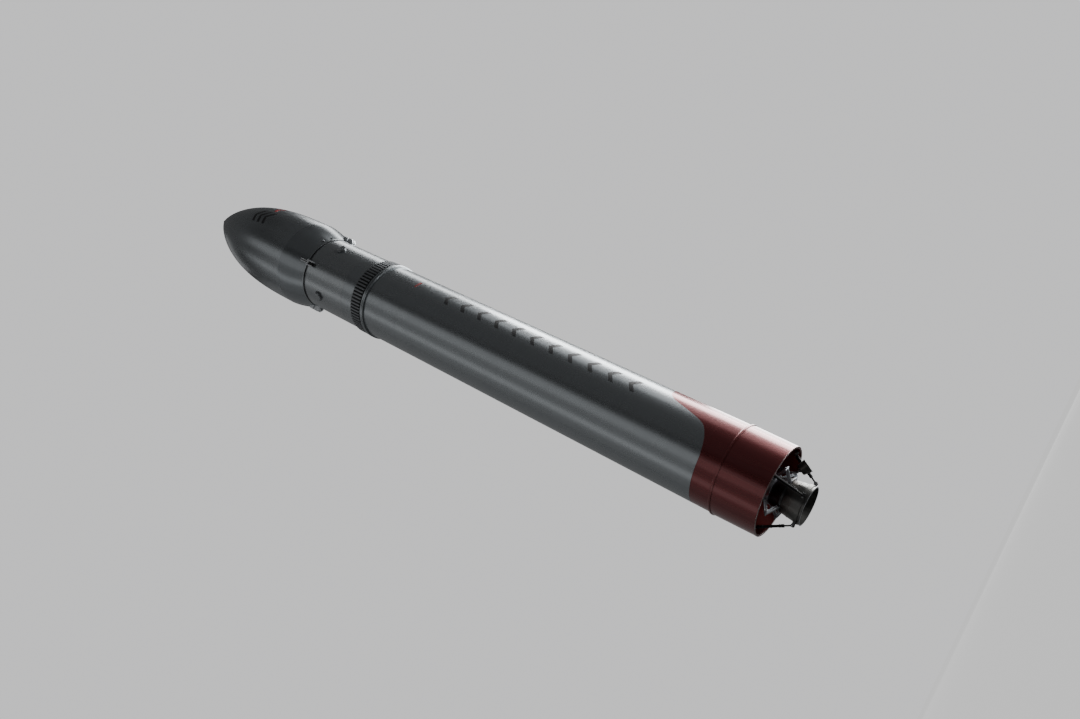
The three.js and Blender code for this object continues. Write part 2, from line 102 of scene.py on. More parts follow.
# A profile of (radius, height) points turned round the long axis. It is closed unless it ends on it.
def turnProfile(points, rounds, soft=0, steps=2):
    part = bmesh.new()
    if soft:
        points = softened(points, soft, steps)
    verts = [part.verts.new((radius, 0, height)) for radius, height in points]
    edges = [part.edges.new(pair) for pair in zip(verts, verts[1:])]
    if verts[-1].co.x > 0:
        edges.append(part.edges.new((verts[-1], verts[0])))
    bmesh.ops.spin(part, geom=verts + edges, cent=(0, 0, 0), axis=(0, 0, 1),
                   angle=math.tau, steps=rounds, use_merge=True)
    bmesh.ops.remove_doubles(part, verts=part.verts, dist=1e-5)
    bmesh.ops.recalc_face_normals(part, faces=part.faces)
    return part


def makeHoop(outer, inner, low, high, rounds=64, soft=0.003):
    return turnProfile([(outer, low), (outer, high), (inner, high), (inner, low)], rounds, soft)


def makeBelt(outer, inner, middle, half, rounds=64, soft=0.003):
    return makeHoop(outer, inner, middle - half, middle + half, rounds, soft)


def bevelEdges(part, width, sharp=35):
    limit = math.radians(sharp)
    edges = [edge for edge in part.edges if edge.is_manifold and edge.calc_face_angle() > limit]
    bmesh.ops.bevel(part, geom=edges, offset=width, affect="EDGES", segments=2,
                    profile=0.5, material=-1, clamp_overlap=True)


# A block between two opposite corners.
def makeBlock(corner, opposite, bevel):
    part = bmesh.new()
    corner, opposite = Vector(corner), Vector(opposite)
    size = [abs(value) for value in opposite - corner]
    place = Matrix.Translation((corner + opposite) / 2) @ Matrix.Diagonal((*size, 1))
    bmesh.ops.create_cube(part, size=1, matrix=place)
    bevelEdges(part, min(bevel, min(size) * 0.4))
    return part


# A block on the front side, centred across, between two distances from the axis.
def makeSlab(half, inner, outer, low, high, bevel):
    return makeBlock((-half, -outer, low), (half, -inner, high), bevel)


def makeRod(start, end, radius, sides=24, bevel=0.002, tip=None):
    part = bmesh.new()
    start, end = Vector(start), Vector(end)
    along = end - start
    place = Matrix.Translation((start + end) / 2) @ aimAlong(along)
    bmesh.ops.create_cone(part, cap_ends=True, segments=sides, radius1=radius,
                          radius2=radius if tip is None else tip, depth=along.length, matrix=place)
    if bevel:
        bevelEdges(part, bevel, 50)
    return part


# A rod that runs across the front side, centred.
def makeCrossRod(half, distance, height, radius, sides, bevel=0.002):
    return makeRod((-half, -distance, height), (half, -distance, height), radius, sides, bevel)


def placePart(part, place):
    bmesh.ops.transform(part, matrix=place, verts=part.verts)
    return part


# A flat outline of (x, y) points given a thickness along +Z, then put in its place.
def makePlate(outline, thickness, place, bevel):
    part = bmesh.new()
    face = part.faces.new([part.verts.new((x, y, 0)) for x, y in outline])
    made = bmesh.ops.extrude_face_region(part, geom=[face])
    top = [item for item in made["geom"] if isinstance(item, bmesh.types.BMVert)]
    bmesh.ops.translate(part, verts=top, vec=(0, 0, thickness))
    placePart(part, place)
    bmesh.ops.recalc_face_normals(part, faces=part.faces)
    bevelEdges(part, bevel, 20)
    return part


# A plate of (Y, height) points that runs across from start.
def makeUprightPlate(outline, thickness, start, bevel=0.003):
    return makePlate(outline, thickness, moved(start, 0, 0) @ upright, bevel)


# A smooth line through the given points.
def smoothRoute(points, steps=8):
    route = [Vector(point) for point in points]
    ends = [route[0] * 2 - route[1]] + route + [route[-1] * 2 - route[-2]]
    line = []
    for before, start, end, after in zip(ends, ends[1:], ends[2:], ends[3:]):
        for i in range(steps):
            t = i / steps
            turn = (start * 2 + (end - before) * t + (before * 2 - start * 5 + end * 4 - after) * t ** 2
                    + (start * 3 - before - end * 3 + after) * t ** 3)
            line.append(turn / 2)
    line.append(route[-1])
    return line


# A round pipe along a line of points.
def makePipe(points, radius, sides):
    curve = bpy.data.curves.new("pipeLine", "CURVE")
    curve.dimensions = "3D"
    curve.bevel_depth = radius
    curve.bevel_resolution = sides
    curve.use_fill_caps = True
    spline = curve.splines.new("POLY")
    spline.points.add(len(points) - 1)
    for knot, point in zip(spline.points, points):
        knot.co = (*point, 1)
    carrier = bpy.data.objects.new("pipeLine", curve)
    mesh = bpy.data.meshes.new_from_object(carrier)
    part = bmesh.new()
    part.from_mesh(mesh)
    bmesh.ops.remove_doubles(part, verts=part.verts, dist=1e-5)
    bmesh.ops.recalc_face_normals(part, faces=part.faces)
    bpy.data.objects.remove(carrier)
    bpy.data.curves.remove(curve)
    bpy.data.meshes.remove(mesh)
    return part


# Gives a finish to the faces whose middle is chosen.
def paintFaces(part, material, chosen=lambda middle: True):
    for face in part.faces:
        if chosen(face.calc_center_median()):
            face.material_index = material


# Adds a part to a larger one, once at each of the given angles round the body.
def absorb(whole, part, material=0, turns=(0,)):
    paintFaces(part, material)
    carrier = bpy.data.meshes.new("carrier")
    part.to_mesh(carrier)
    part.free()
    for degrees in turns:
        carrier.transform(turnAbout(degrees))
        whole.from_mesh(carrier)
        carrier.transform(turnAbout(-degrees))
    bpy.data.meshes.remove(carrier)


# Adds two mirrored blocks on the front side. near and far are distances from the axis.
def addPair(whole, inner, outer, near, far, low, high, bevel, material=0, turns=(0,)):
    for side in (-1, 1):
        block = makeBlock((side * inner, -far, low), (side * outer, -near, high), bevel)
        absorb(whole, block, material, turns)


def evenTurns(count, start=0.0):
    return [start + 360 * i / count for i in range(count)]


# Shader groups and finishes

def setInputs(tree, node, inputs):
    for socket, value in inputs.items():
        if isinstance(value, bpy.types.NodeSocket):
            tree.links.new(value, node.inputs[socket])
        else:
            node.inputs[socket].default_value = value


def addNode(tree, kind, inputs=None, **settings):
    node = tree.nodes.new("ShaderNode" + kind)
    for name, value in settings.items():
        setattr(node, name, value)
    setInputs(tree, node, inputs or {})
    return node


def combine(tree, operation, first, second):
    return addNode(tree, "Math", {0: first, 1: second}, operation=operation).outputs[0]


def stretchRange(tree, value, low, high, start=0.0, end=1.0):
    inputs = {"Value": value, "From Min": low, "From Max": high, "To Min": start, "To Max": end}
    return addNode(tree, "MapRange", inputs).outputs["Result"]


def blendColours(tree, share, first, second):
    return addNode(tree, "Mix", {0: share, 6: first, 7: second}, data_type="RGBA").outputs[2]


def noiseAt(tree, stretch, scale, detail, rough=0.6):
    coords = addNode(tree, "TexCoord").outputs["Object"]
    placed = addNode(tree, "Mapping", {"Vector": coords, "Scale": stretch}).outputs[0]
    inputs = {"Vector": placed, "Scale": scale, "Detail": detail, "Roughness": rough}
    return addNode(tree, "TexNoise", inputs).outputs[0]


# A new group, with the sockets of what it is given. Their kinds follow from the plain values.
def openGroup(name, inputs):
    tree = bpy.data.node_groups.new(name, "ShaderNodeTree")
    for label, value in inputs.items():
        kind = {3: "Vector", 4: "Color"}[len(value)] if isinstance(value, tuple) else "Float"
        socket = tree.interface.new_socket(name=label, in_out="INPUT", socket_type="NodeSocket" + kind)
        socket.default_value = value
    return tree, tree.nodes.new("NodeGroupInput").outputs


def closeGroup(tree, outputs):
    for label in outputs:
        kind = "NodeSocketColor" if label == "Color" else "NodeSocketFloat"
        tree.interface.new_socket(name=label, in_out="OUTPUT", socket_type=kind)
    setInputs(tree, tree.nodes.new("NodeGroupOutput"), outputs)
    return tree


# Paint with long soft streaks, faint hoops and a little orange peel.
def buildWeatheredPaint():
    tree, given = openGroup("weatheredPaint", {
        "Paint": (0.4, 0.4, 0.4, 1), "Grime": (0.1, 0.1, 0.1, 1), "Grime Amount": 0.3, "Roughness": 0.4,
    })
    streaks = stretchRange(tree, noiseAt(tree, (9, 9, 0.45), 1.0, 5), 0.38, 0.72)
    bands = stretchRange(tree, noiseAt(tree, (0.2, 0.2, 6), 1.0, 3), 0.35, 0.65, 0.985, 1.015)
    mottle = stretchRange(tree, noiseAt(tree, (1, 1, 1), 1.4, 4), 0.3, 0.7, -0.012, 0.012)
    soil = combine(tree, "MULTIPLY", streaks, given["Grime Amount"])
    dirty = blendColours(tree, soil, given["Paint"], given["Grime"])
    toned = addNode(tree, "VectorMath", {0: dirty, "Scale": bands}, operation="SCALE").outputs[0]
    duller = combine(tree, "MULTIPLY", soil, 0.2)
    rough = combine(tree, "ADD", combine(tree, "ADD", given["Roughness"], mottle), duller)
    peel = noiseAt(tree, (1, 1, 1), 260, 2)
    return closeGroup(tree, {"Color": toned, "Roughness": rough, "Height": peel})


# Paint rubbed through along outer edges.
def buildEdgeWear():
    tree, given = openGroup("edgeWear", {"Amount": 0.5})
    edge = stretchRange(tree, addNode(tree, "NewGeometry").outputs["Pointiness"], 0.53, 0.62)
    chips = stretchRange(tree, noiseAt(tree, (1, 1, 1), 40, 4), 0.4, 0.6)
    worn = combine(tree, "MULTIPLY", combine(tree, "MULTIPLY", edge, chips), given["Amount"])
    return closeGroup(tree, {"Mask": worn})


# Fine machining lines, stretched by the finish's own amounts.
def buildBrushedGrain():
    tree, given = openGroup("brushedGrain", {"Stretch": (1, 1, 1)})
    lines = noiseAt(tree, given["Stretch"], 1.0, 6, 0.5)
    return closeGroup(tree, {"Value": stretchRange(tree, lines, 0.3, 0.7), "Height": lines})


# Straw, violet and blue heat colours between two heights.
def buildHeatTint():
    tree, given = openGroup("heatTint", {"Low": -0.5, "High": 0.5})
    coords = addNode(tree, "TexCoord").outputs["Object"]
    height = addNode(tree, "SeparateXYZ", {"Vector": coords}).outputs["Z"]
    wander = stretchRange(tree, noiseAt(tree, (1, 1, 1), 5, 4), 0.3, 0.7, -0.08, 0.08)
    share = stretchRange(tree, combine(tree, "ADD", height, wander), given["Low"], given["High"])
    ramp = addNode(tree, "ValToRGB", {"Fac": share})
    straw, violet, blue = (0.20, 0.15, 0.10, 1), (0.16, 0.10, 0.12, 1), (0.09, 0.11, 0.17, 1)
    for place, colour in ((0.0, straw), (0.35, violet), (0.7, blue)):
        ramp.color_ramp.elements.new(place).color = colour
    centre = combine(tree, "ABSOLUTE", combine(tree, "SUBTRACT", share, 0.5), 0.0)
    return closeGroup(tree, {"Color": ramp.outputs["Color"], "Mask": stretchRange(tree, centre, 0.5, 0.1)})


weatheredPaint = buildWeatheredPaint()
edgeWear = buildEdgeWear()
brushedGrain = buildBrushedGrain()
heatTint = buildHeatTint()

# columns: paint, grime, worn edges, metallic, roughness, soil, wear, orange peel
paints = {
    "silverPaint": ((0.328, 0.352, 0.368), (0.22, 0.23, 0.24), (0.6, 0.6, 0.6), 0.85, 0.27, 0.06, 0.5, 0.01),
    # A darker copy of the silver paint for the fairing's tail below the crease: painted shade
    "tailPaint": ((0.265, 0.285, 0.30), (0.20, 0.21, 0.22), (0.6, 0.6, 0.6), 0.85, 0.25, 0.06, 0.5, 0.01),
    "trimPaint": ((0.70, 0.73, 0.76), (0.45, 0.46, 0.47), (0.8, 0.8, 0.8), 0.25, 0.36, 0.2, 0.7, 0.05),
    "redPaint": ((0.20, 0.032, 0.035), (0.12, 0.02, 0.02), (0.3, 0.14, 0.13), 0.65, 0.26, 0.25, 0.4, 0.02),
    "redInside": ((0.22, 0.022, 0.020), (0.10, 0.016, 0.014), (0.3, 0.14, 0.12), 0.1, 0.5, 0.5, 0.3, 0.1),
    "ribGrey": ((0.20, 0.215, 0.23), (0.12, 0.12, 0.13), (0.4, 0.4, 0.4), 0.5, 0.40, 0.4, 0.6, 0.05),
    # Near-black painted shade, put in grooves, slots, recesses and ports
    "recessDark": ((0.006, 0.006, 0.007), (0.012, 0.012, 0.012), (0.04, 0.04, 0.04), 0, 0.65, 0.5, 0.1, 0.1),
    "liningPale": ((0.5, 0.49, 0.46), (0.36, 0.34, 0.3), (0.55, 0.55, 0.52), 0, 0.7, 0.4, 0.1, 0.3),
    "markDark": ((0.022, 0.023, 0.026), (0.05, 0.05, 0.05), (0.2, 0.2, 0.2), 0.1, 0.42, 0.3, 0.2, 0.05),
    "markRed": ((0.32, 0.02, 0.02), (0.2, 0.02, 0.02), (0.3, 0.2, 0.2), 0.1, 0.42, 0.3, 0.2, 0.05),
}
# columns: dark grain, light grain, worn edges, metallic, roughness, wear, stretch of the grain, relief
metals = {
    "bareRim": ((0.42, 0.31, 0.30), (0.56, 0.46, 0.45), (0.7, 0.62, 0.6), 0.6, 0.35, 0.6, (40, 40, 40), 0.1),
    "brightSteel": ((0.68, 0.72, 0.78), (0.84, 0.87, 0.92), (0.95, 0.95, 0.95), 0.6, 0.3, 0.5, (60, 60, 8),
                    0.08),
    "plainAlloy": ((0.26, 0.265, 0.27), (0.4, 0.405, 0.41), (0.6, 0.6, 0.6), 0.9, 0.4, 0.6, (30, 30, 30),
                   0.15),
    "gunmetal": ((0.04, 0.04, 0.042), (0.07, 0.07, 0.073), (0.3, 0.29, 0.28), 0.9, 0.32, 0.7, (14, 14, 60),
                 0.12),
    "nozzleSkin": ((0.1, 0.1, 0.098), (0.16, 0.157, 0.15), (0.45, 0.44, 0.42), 0.9, 0.34, 0.5, (10, 10, 2),
                   0.1),
    "nozzleInside": ((0.13, 0.13, 0.123), (0.2, 0.198, 0.188), (0.4, 0.4, 0.38), 0.4, 0.5, 0.4, (40, 40, 1.5),
                     0.3),
}
# Clear coats. columns: weight, bend of light, roughness
coats = {"redPaint": (0.62, 1.55, 0.17)}
noCoat = (0.0, 1.5, 0.28)
# Heat colours. columns: lowest height, highest height, strength
heats = {"nozzleSkin": (-0.35, 0.5, 0.5)}
# Depth of the relief on painted and on bare metal
paintDepth, metalDepth = 0.0005, 0.001


def opaque(colour):
    return (*colour, 1)


def makeFinish(name):
    material = bpy.data.materials.new(name)
    material.use_nodes = True
    tree = material.node_tree
    if name in paints:
        paint, grime, bare, metallic, rough, soil, wear, relief = paints[name]
        inputs = {"Paint": opaque(paint), "Grime": opaque(grime), "Grime Amount": soil, "Roughness": rough}
        skin = addNode(tree, "Group", inputs, node_tree=weatheredPaint).outputs
        colour, roughness, depth = skin["Color"], skin["Roughness"], paintDepth
    else:
        dark, light, bare, metallic, rough, wear, stretch, relief = metals[name]
        skin = addNode(tree, "Group", {"Stretch": stretch}, node_tree=brushedGrain).outputs
        colour = blendColours(tree, skin["Value"], opaque(dark), opaque(light))
        roughness = stretchRange(tree, skin["Value"], 0, 1, rough - 0.05, rough + 0.07)
        depth = metalDepth
    if name in heats:
        low, high, amount = heats[name]
        tint = addNode(tree, "Group", {"Low": low, "High": high}, node_tree=heatTint).outputs
        colour = blendColours(tree, combine(tree, "MULTIPLY", tint["Mask"], amount), colour, tint["Color"])
    edges = addNode(tree, "Group", {"Amount": wear}, node_tree=edgeWear).outputs["Mask"]
    bump = addNode(tree, "Bump", {"Strength": relief, "Distance": depth, "Height": skin["Height"]})
    coat, coatBend, coatRough = coats.get(name, noCoat)
    setInputs(tree, tree.nodes["Principled BSDF"], {
        "Base Color": blendColours(tree, edges, colour, opaque(bare)), "Roughness": roughness,
        "Metallic": metallic, "Normal": bump.outputs["Normal"],
        "Coat Weight": coat, "Coat IOR": coatBend, "Coat Roughness": coatRough,
    })
    return material


finishes = {name: makeFinish(name) for name in (*paints, *metals)}
print("finishes made")


# Makes the finished object, rides it on its body and hides the nodes it stands for. looks names its finishes.
def finishPiece(name, part, body, looks, *nodes, turn=0):
    mesh = bpy.data.meshes.new(name)
    part.to_mesh(mesh)
    part.free()
    mesh.transform(turnAbout(turn))
    looks = looks.split()
    for look in looks:
        mesh.materials.append(finishes[look])
    mesh.shade_smooth()
    mesh.set_sharp_from_angle(angle=sharpEdge)
    piece = bpy.data.objects.new(name, mesh)
    bpy.context.scene.collection.objects.link(piece)
    weights = piece.modifiers.new("faceWeights", "WEIGHTED_NORMAL")
    weights.keep_sharp = True
    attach(piece, body)
    if nodes:
        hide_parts(*nodes)


# First stage

skirt = {
    "rounds": 192, "wall": 0.030, "rimHeight": 0.007, "rimBead": 0.002, "rimInside": 0.003,
    "seamHeight": 0.805, "seamRadius": 0.812, "seamFade": 0.030,
    "stringers": 36, "stringerHalf": 0.007, "stringerDepth": 0.012, "stringerEnds": (0.30, 1.02),
    "hoops": (0.46, 0.76), "hoopHalf": 0.012, "hoopDepth": 0.022,
}
skirtInside = bodyRadius - skirt["wall"]
topPin = {"radius": 0.700, "height": 0.060, "turns": (17, 107, 197, 287)}
seat = {"inner": 0.755, "half": 0.046, "tall": 0.042, "pin": 0.016, "boltSpot": 0.030, "bolt": 0.007,
        "boltTall": 0.003}
collar = {"inner": 0.732, "outer": 0.750, "radius": 0.034, "bore": 0.0185}


# Pads inside the skirt, each with four bolts and the radial pin of an actuator.
def addSeats(whole):
    height, turns, face, spot = topPin["height"], topPin["turns"], -seat["inner"], seat["boltSpot"]
    low, high = height - seat["tall"], height + seat["tall"]
    absorb(whole, makeSlab(seat["half"], -face, skirtInside + deepLap, low, high, 0.006), 1, turns)
    for x in (-spot, spot):
        for z in (height - spot, height + spot):
            bolt = makeRod((x, face - lap, z), (x, face + seat["boltTall"], z), seat["bolt"], 6, 0.001)
            absorb(whole, bolt, 3, turns)
    pin = makeRod((0, face - deepLap, height), (0, -collar["inner"] + thinLap, height), seat["pin"])
    absorb(whole, pin, 3, turns)


def makeAftSkirt():
    low, high = nodeSpan("aft_skirt")
    inner, rounds, rimTop, seam = skirtInside, skirt["rounds"], low + skirt["rimHeight"], skirt["seamHeight"]
    outline = [(bodyRadius, rimTop), (skirt["seamRadius"], seam), (bodyRadius, seam + skirt["seamFade"]),
               (bodyRadius, high), (inner, high), (inner, rimTop)]
    whole = turnProfile(outline, rounds, 0.003)
    paintFaces(whole, 1, lambda middle: middle.xy.length < inner + 0.002)
    absorb(whole, makeHoop(bodyRadius + skirt["rimBead"], inner - skirt["rimInside"], low, rimTop, rounds), 2)
    stringer = makeSlab(skirt["stringerHalf"], inner - skirt["stringerDepth"], inner + thinLap,
                        *skirt["stringerEnds"], 0.002)
    absorb(whole, stringer, 1, evenTurns(skirt["stringers"], 5))
    for height in skirt["hoops"]:
        hoop = makeBelt(inner + thinLap, inner - skirt["hoopDepth"], height, skirt["hoopHalf"], rounds)
        absorb(whole, hoop, 1)
    addSeats(whole)
    finishPiece("aft_skirt_shell", whole, "first_stage", "redPaint redInside bareRim brightSteel",
                "aft_skirt")


# How much of a rivet's radius is left at its head
rivetTip = 0.6


def rivetRing(whole, radius, height, facts):
    rivet = makeRod((0, -radius + facts["rivetSunk"], height), (0, -radius - facts["rivetProud"], height),
                    facts["rivetRadius"], 8, 0, facts["rivetRadius"] * rivetTip)
    absorb(whole, rivet, 0, evenTurns(facts["rivets"]))


seamBand = {"rounds": 192, "rivets": 90, "rivetRadius": 0.006, "rivetProud": 0.0025, "rivetSunk": 0.002}


def makeSeamBand():
    low, high = nodeSpan("skirt_seam_band")
    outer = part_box("skirt_seam_band")[1].x
    band = makeHoop(outer, skirt["seamRadius"] - lap, low, high, seamBand["rounds"])
    rivetRing(band, outer, (low + high) / 2, seamBand)
    finishPiece("skirt_seam_hoop", band, "first_stage", "redPaint", "skirt_seam_band")


tank = {
    "rounds": 256, "aftDome": 0.070, "foreDome": 0.250, "domeInset": 0.030, "ringStart": 1.45, "soft": 0.002,
    "weldStart": 3.02, "weldPitch": 0.84, "welds": 6, "weldHalf": 0.006, "weldProud": 0.0012,
    "lowestEdge": 0.004,
}
# Edge of the red paint on the tank. columns: degrees from the front, height over the skirt joint
redTongue = ((0, 0.013), (10, 0.037), (20, 0.085), (30, 0.165), (36, 0.245), (40, 0.389), (44, 0.565),
             (48, 0.745), (52, 0.925), (60, 1.045), (90, 1.125))


def domePoints(radius, rim, height, steps=20):
    points = []
    for i in range(steps + 1):
        turn = math.pi / 2 * i / steps
        points.append((radius * math.cos(turn) if i < steps else 0.0, rim + height * math.sin(turn)))
    return points


def tongueAt(degrees):
    turn = degrees if degrees <= 90 else 180 - degrees
    if turn <= 0:
        return tank["lowestEdge"]
    for (start, low), (end, high) in zip(redTongue, redTongue[1:]):
        if turn <= end:
            return low + (high - low) * (turn - start) / (end - start)
    return redTongue[-1][1]


# The edge's height, evened out over a few degrees on both sides.
def redEdgeHeight(degrees, spread=2.5):
    return sum(tongueAt(degrees + shift * spread) for shift in (-1, -0.5, 0, 0.5, 1)) / 5


def makeTank():
    low, high = nodeSpan("first_stage_tank")
    joint, top, ring, soft = low + tank["aftDome"], high - tank["foreDome"], tank["ringStart"], tank["soft"]
    dome, half, proud = bodyRadius - tank["domeInset"], tank["weldHalf"], bodyRadius + tank["weldProud"]
    outline = domePoints(dome - 0.005, joint, -tank["aftDome"])[::-1]
    outline += [(bodyRadius - soft, joint), (bodyRadius, joint + soft), (bodyRadius, ring)]
    for i in range(tank["welds"]):
        weld = tank["weldStart"] + i * tank["weldPitch"]
        outline += [(bodyRadius, weld - half), (proud, weld - half / 2), (proud, weld + half / 2),
                    (bodyRadius, weld + half)]
    outline += [(bodyRadius, top - soft), (bodyRadius - soft, top)] + domePoints(dome, top, tank["foreDome"])
    skin = turnProfile(outline, tank["rounds"])
    paintFaces(skin, 1, lambda middle: middle.z < ring)
    for vert in skin.verts:
        if abs(vert.co.z - ring) < 1e-4:
            vert.co.z = joint + redEdgeHeight(math.degrees(math.atan2(vert.co.x, -vert.co.y)))
    finishPiece("first_stage_tank_skin", skin, "first_stage", "silverPaint redPaint", "first_stage_tank")


# Rivet rows are given over the low edge, or from the high one when negative
straightSkirt = {
    "rounds": 192, "wall": 0.025, "rivetRadius": 0.004, "rivetProud": 0.0016, "rivetSunk": 0.001,
}
forwardSkirt = dict(straightSkirt, rivets=120, rows=(0.03, 0.06))
upperSkirt = dict(straightSkirt, rivets=96, rows=(-0.03, 0.03))


def makeStraightSkirt(node, body, facts):
    low, high = nodeSpan(node)
    shell = makeHoop(bodyRadius, bodyRadius - facts["wall"], low, high, facts["rounds"])
    for row in facts["rows"]:
        rivetRing(shell, bodyRadius, (high if row < 0 else low) + row, facts)
    finishPiece(node + "_shell", shell, body, "silverPaint", node)


flange = {
    "rounds": 192, "bolts": 60, "boltRadius": 0.008, "boltHeight": 0.007, "boltOut": 0.020, "top": 0.090,
    "grooveProud": 0.003,
    # columns: how far it stands out, height over the flange's low edge
    "steps": ((-0.002, 0.0), (0.034, 0.012), (0.034, 0.034), (0.020, 0.045), (0.036, 0.060), (0.036, 0.088),
              (-0.002, 0.090)),
}


def makeFlange(rounds, bolts, boltRadius, boltHeight, boltOut, top, grooveProud, steps):
    low, high = nodeSpan("forward_flange")
    ring = turnProfile([(bodyRadius + out, low + up) for out, up in steps], rounds, 0.007, 4)
    foot, spot = low + top - lap, -bodyRadius - boltOut
    bolt = makeRod((0, spot, foot), (0, spot, low + top + boltHeight), boltRadius, 6, 0.001)
    absorb(ring, bolt, 0, evenTurns(bolts))
    # The groove above the beads is in painted shade.
    absorb(ring, makeHoop(bodyRadius + grooveProud, bodyRadius - lap, foot, high - thinLap, rounds, 0.001), 1)
    finishPiece("forward_flange_beads", ring, "first_stage", "silverPaint recessDark", "forward_flange")


ribbedRing = {
    "rounds": 144, "ribs": 72, "ribShare": 0.52, "ribLow": 0.004, "ribTop": 0.014, "root": 0.798,
    "crest": 0.828, "wallOuter": 0.802, "wallInner": 0.772, "soft": 0.007,
}


def makeRibbedRing(rounds, ribs, ribShare, ribLow, ribTop, root, crest, wallOuter, wallInner, soft):
    low, high = nodeSpan("ribbed_interstage")
    wall = makeHoop(wallOuter, wallInner, low, high, rounds)
    # The wall between the ribs is in painted shade.
    paintFaces(wall, 1)
    half = math.pi / ribs * crest * ribShare
    absorb(wall, makeSlab(half, root, crest, low + ribLow, high - ribTop, soft), 0, evenTurns(ribs))
    finishPiece("ribbed_interstage_ring", wall, "first_stage", "ribGrey recessDark", "ribbed_interstage")


# Engine end

# Two ears that hold one pair of the gimbal's pins
yoke = {"inner": 0.062, "outer": 0.086, "half": 0.034, "turn": 17}


def addYoke(whole, low, high, shift):
    ear = makeBlock((yoke["inner"], -yoke["half"], low), (yoke["outer"], yoke["half"], high), 0.004)
    absorb(whole, ear, 0, (yoke["turn"] + shift, yoke["turn"] + shift + 180))


diagonals = (45, 135, 225, 315)
thrust = {
    "ringWidth": 0.030, "ringLow": 1.030, "top": 1.100, "beamLow": 1.040, "beamHalf": 0.030, "plate": 0.01,
    "webHalf": 0.006, "hubRadius": 0.150, "hubLow": 1.034, "yokeLow": 0.928,
}


def makeThrustFrame(ringWidth, ringLow, top, beamLow, beamHalf, plate, webHalf, hubRadius, hubLow, yokeLow):
    whole = makeHoop(skirtInside - 0.0005, skirtInside - ringWidth, ringLow, top, 128)
    end = skirtInside - ringWidth + deepLap
    for low, high in ((beamLow, beamLow + plate), (top - plate, top)):
        absorb(whole, makeSlab(beamHalf, 0, end, low, high, 0.002), 0, diagonals)
    absorb(whole, makeSlab(webHalf, 0, end, beamLow + deepLap, top - deepLap, 0.001), 0, diagonals)
    absorb(whole, turnProfile([(0, hubLow), (hubRadius, hubLow), (hubRadius, top), (0, top)], 64, 0.006))
    addYoke(whole, yokeLow, hubLow + deepLap, 0)
    finishPiece("thrust_frame_beams", whole, "first_stage", "plainAlloy", "thrust_frame")


gimbal = {"height": 0.960, "half": 0.050, "tall": 0.030, "pin": 0.015, "pinHalf": 0.092}


def makeGimbal(height, half, tall, pin, pinHalf):
    block = makeBlock((-half, -half, height - tall), (half, half, height + tall), 0.006)
    absorb(block, makeRod((0, -pinHalf, height), (0, pinHalf, height), pin), 0, (0, 90))
    finishPiece("gimbal_cross", block, "gimbal", "brightSteel", "gimbal_block", turn=yoke["turn"])


pump = {
    "radius": 0.190, "top": 0.880, "shoulder": 0.03, "earTop": 0.992, "belts": (0.63, 0.72, 0.83),
    "beltHalf": 0.012, "beltProud": 0.010, "pipe": 0.010, "pipeOff": 0.018, "pipeTurns": (20, 100, 200, 290),
}


def makeEngineBlock(radius, top, shoulder, earTop, belts, beltHalf, beltProud, pipe, pipeOff, pipeTurns):
    low = nodeSpan("engine_block")[0]
    outline = [(0, low), (radius, low), (radius, top - shoulder), (radius - shoulder, top), (0, top)]
    whole = turnProfile(outline, 64, 0.008)
    for height in belts:
        absorb(whole, makeBelt(radius + beltProud, radius - deepLap, height, beltHalf))
    addYoke(whole, top - 0.01, earTop, 90)
    spot = -(radius + pipeOff)
    line = smoothRoute([(0, spot + 0.03, low + 0.01), (0, spot, low + 0.05), (0.02, spot, 0.72),
                        (0, spot, top - 0.07), (0, spot + 0.04, top - 0.03)])
    absorb(whole, makePipe(line, pipe, 4), 1, pipeTurns)
    finishPiece("engine_pump_block", whole, "engine", "plainAlloy brightSteel", "engine_block")


bell = {
    "mouth": -0.516, "mouthRadius": 0.332, "throat": 0.560, "throatRadius": 0.095, "flangeRadius": 0.140,
    "flangeDepth": 0.025, "wall": 0.012, "power": 1.5, "rounds": 144, "lip": 0.009, "flute": 0.0016,
    "bandShares": (0.22, 0.62),
}
upperBell = dict(bell, mouth=8.450, mouthRadius=0.300, throat=9.250, throatRadius=0.060, flangeRadius=0.100,
                 power=2.35, lip=0.006)


def bellRadius(facts, share):
    return facts["mouthRadius"] - (facts["mouthRadius"] - facts["throatRadius"]) * share ** facts["power"]


# A bell with a rolled lip, its flange above the throat, and flutes down its inside.
def makeBell(facts, steps=28):
    mouth, throat, wall, rim, collarRadius = (
        facts[key] for key in ("mouth", "throat", "wall", "mouthRadius", "flangeRadius"))
    length, top, lip = throat - mouth, throat + facts["flangeDepth"], rim + facts["lip"]
    outside = [(bellRadius(facts, i / steps), mouth + length * (i / steps)) for i in range(steps + 1)]
    inside = [(radius - wall, height) for radius, height in outside]
    profile = [inside[0], (lip - 0.003, mouth), (lip, mouth + 0.002), (lip, mouth + 0.010),
               (rim, mouth + 0.014), *outside[1:], (collarRadius, throat), (collarRadius, top),
               (facts["throatRadius"] - wall, top)]
    skin = turnProfile(profile + inside[:0:-1], facts["rounds"])
    for face in skin.faces:
        middle = face.calc_center_median()
        share = (middle.z - mouth) / length
        if middle.z < mouth + 0.003:
            face.material_index = 2
        elif share < 1 and middle.xy.length < bellRadius(facts, share) - wall * 0.5:
            face.material_index = 1
    for vert in skin.verts:
        share = (vert.co.z - mouth) / length
        column = round(math.degrees(math.atan2(vert.co.y, vert.co.x)) / 360 * facts["rounds"])
        radius = bellRadius(facts, min(1, max(0, share))) - wall
        if column % 2 and 0.01 < share < 0.99 and abs(vert.co.xy.length - radius) < 0.003:
            vert.co.xy = vert.co.xy * (1 + facts["flute"] / radius)
    return skin


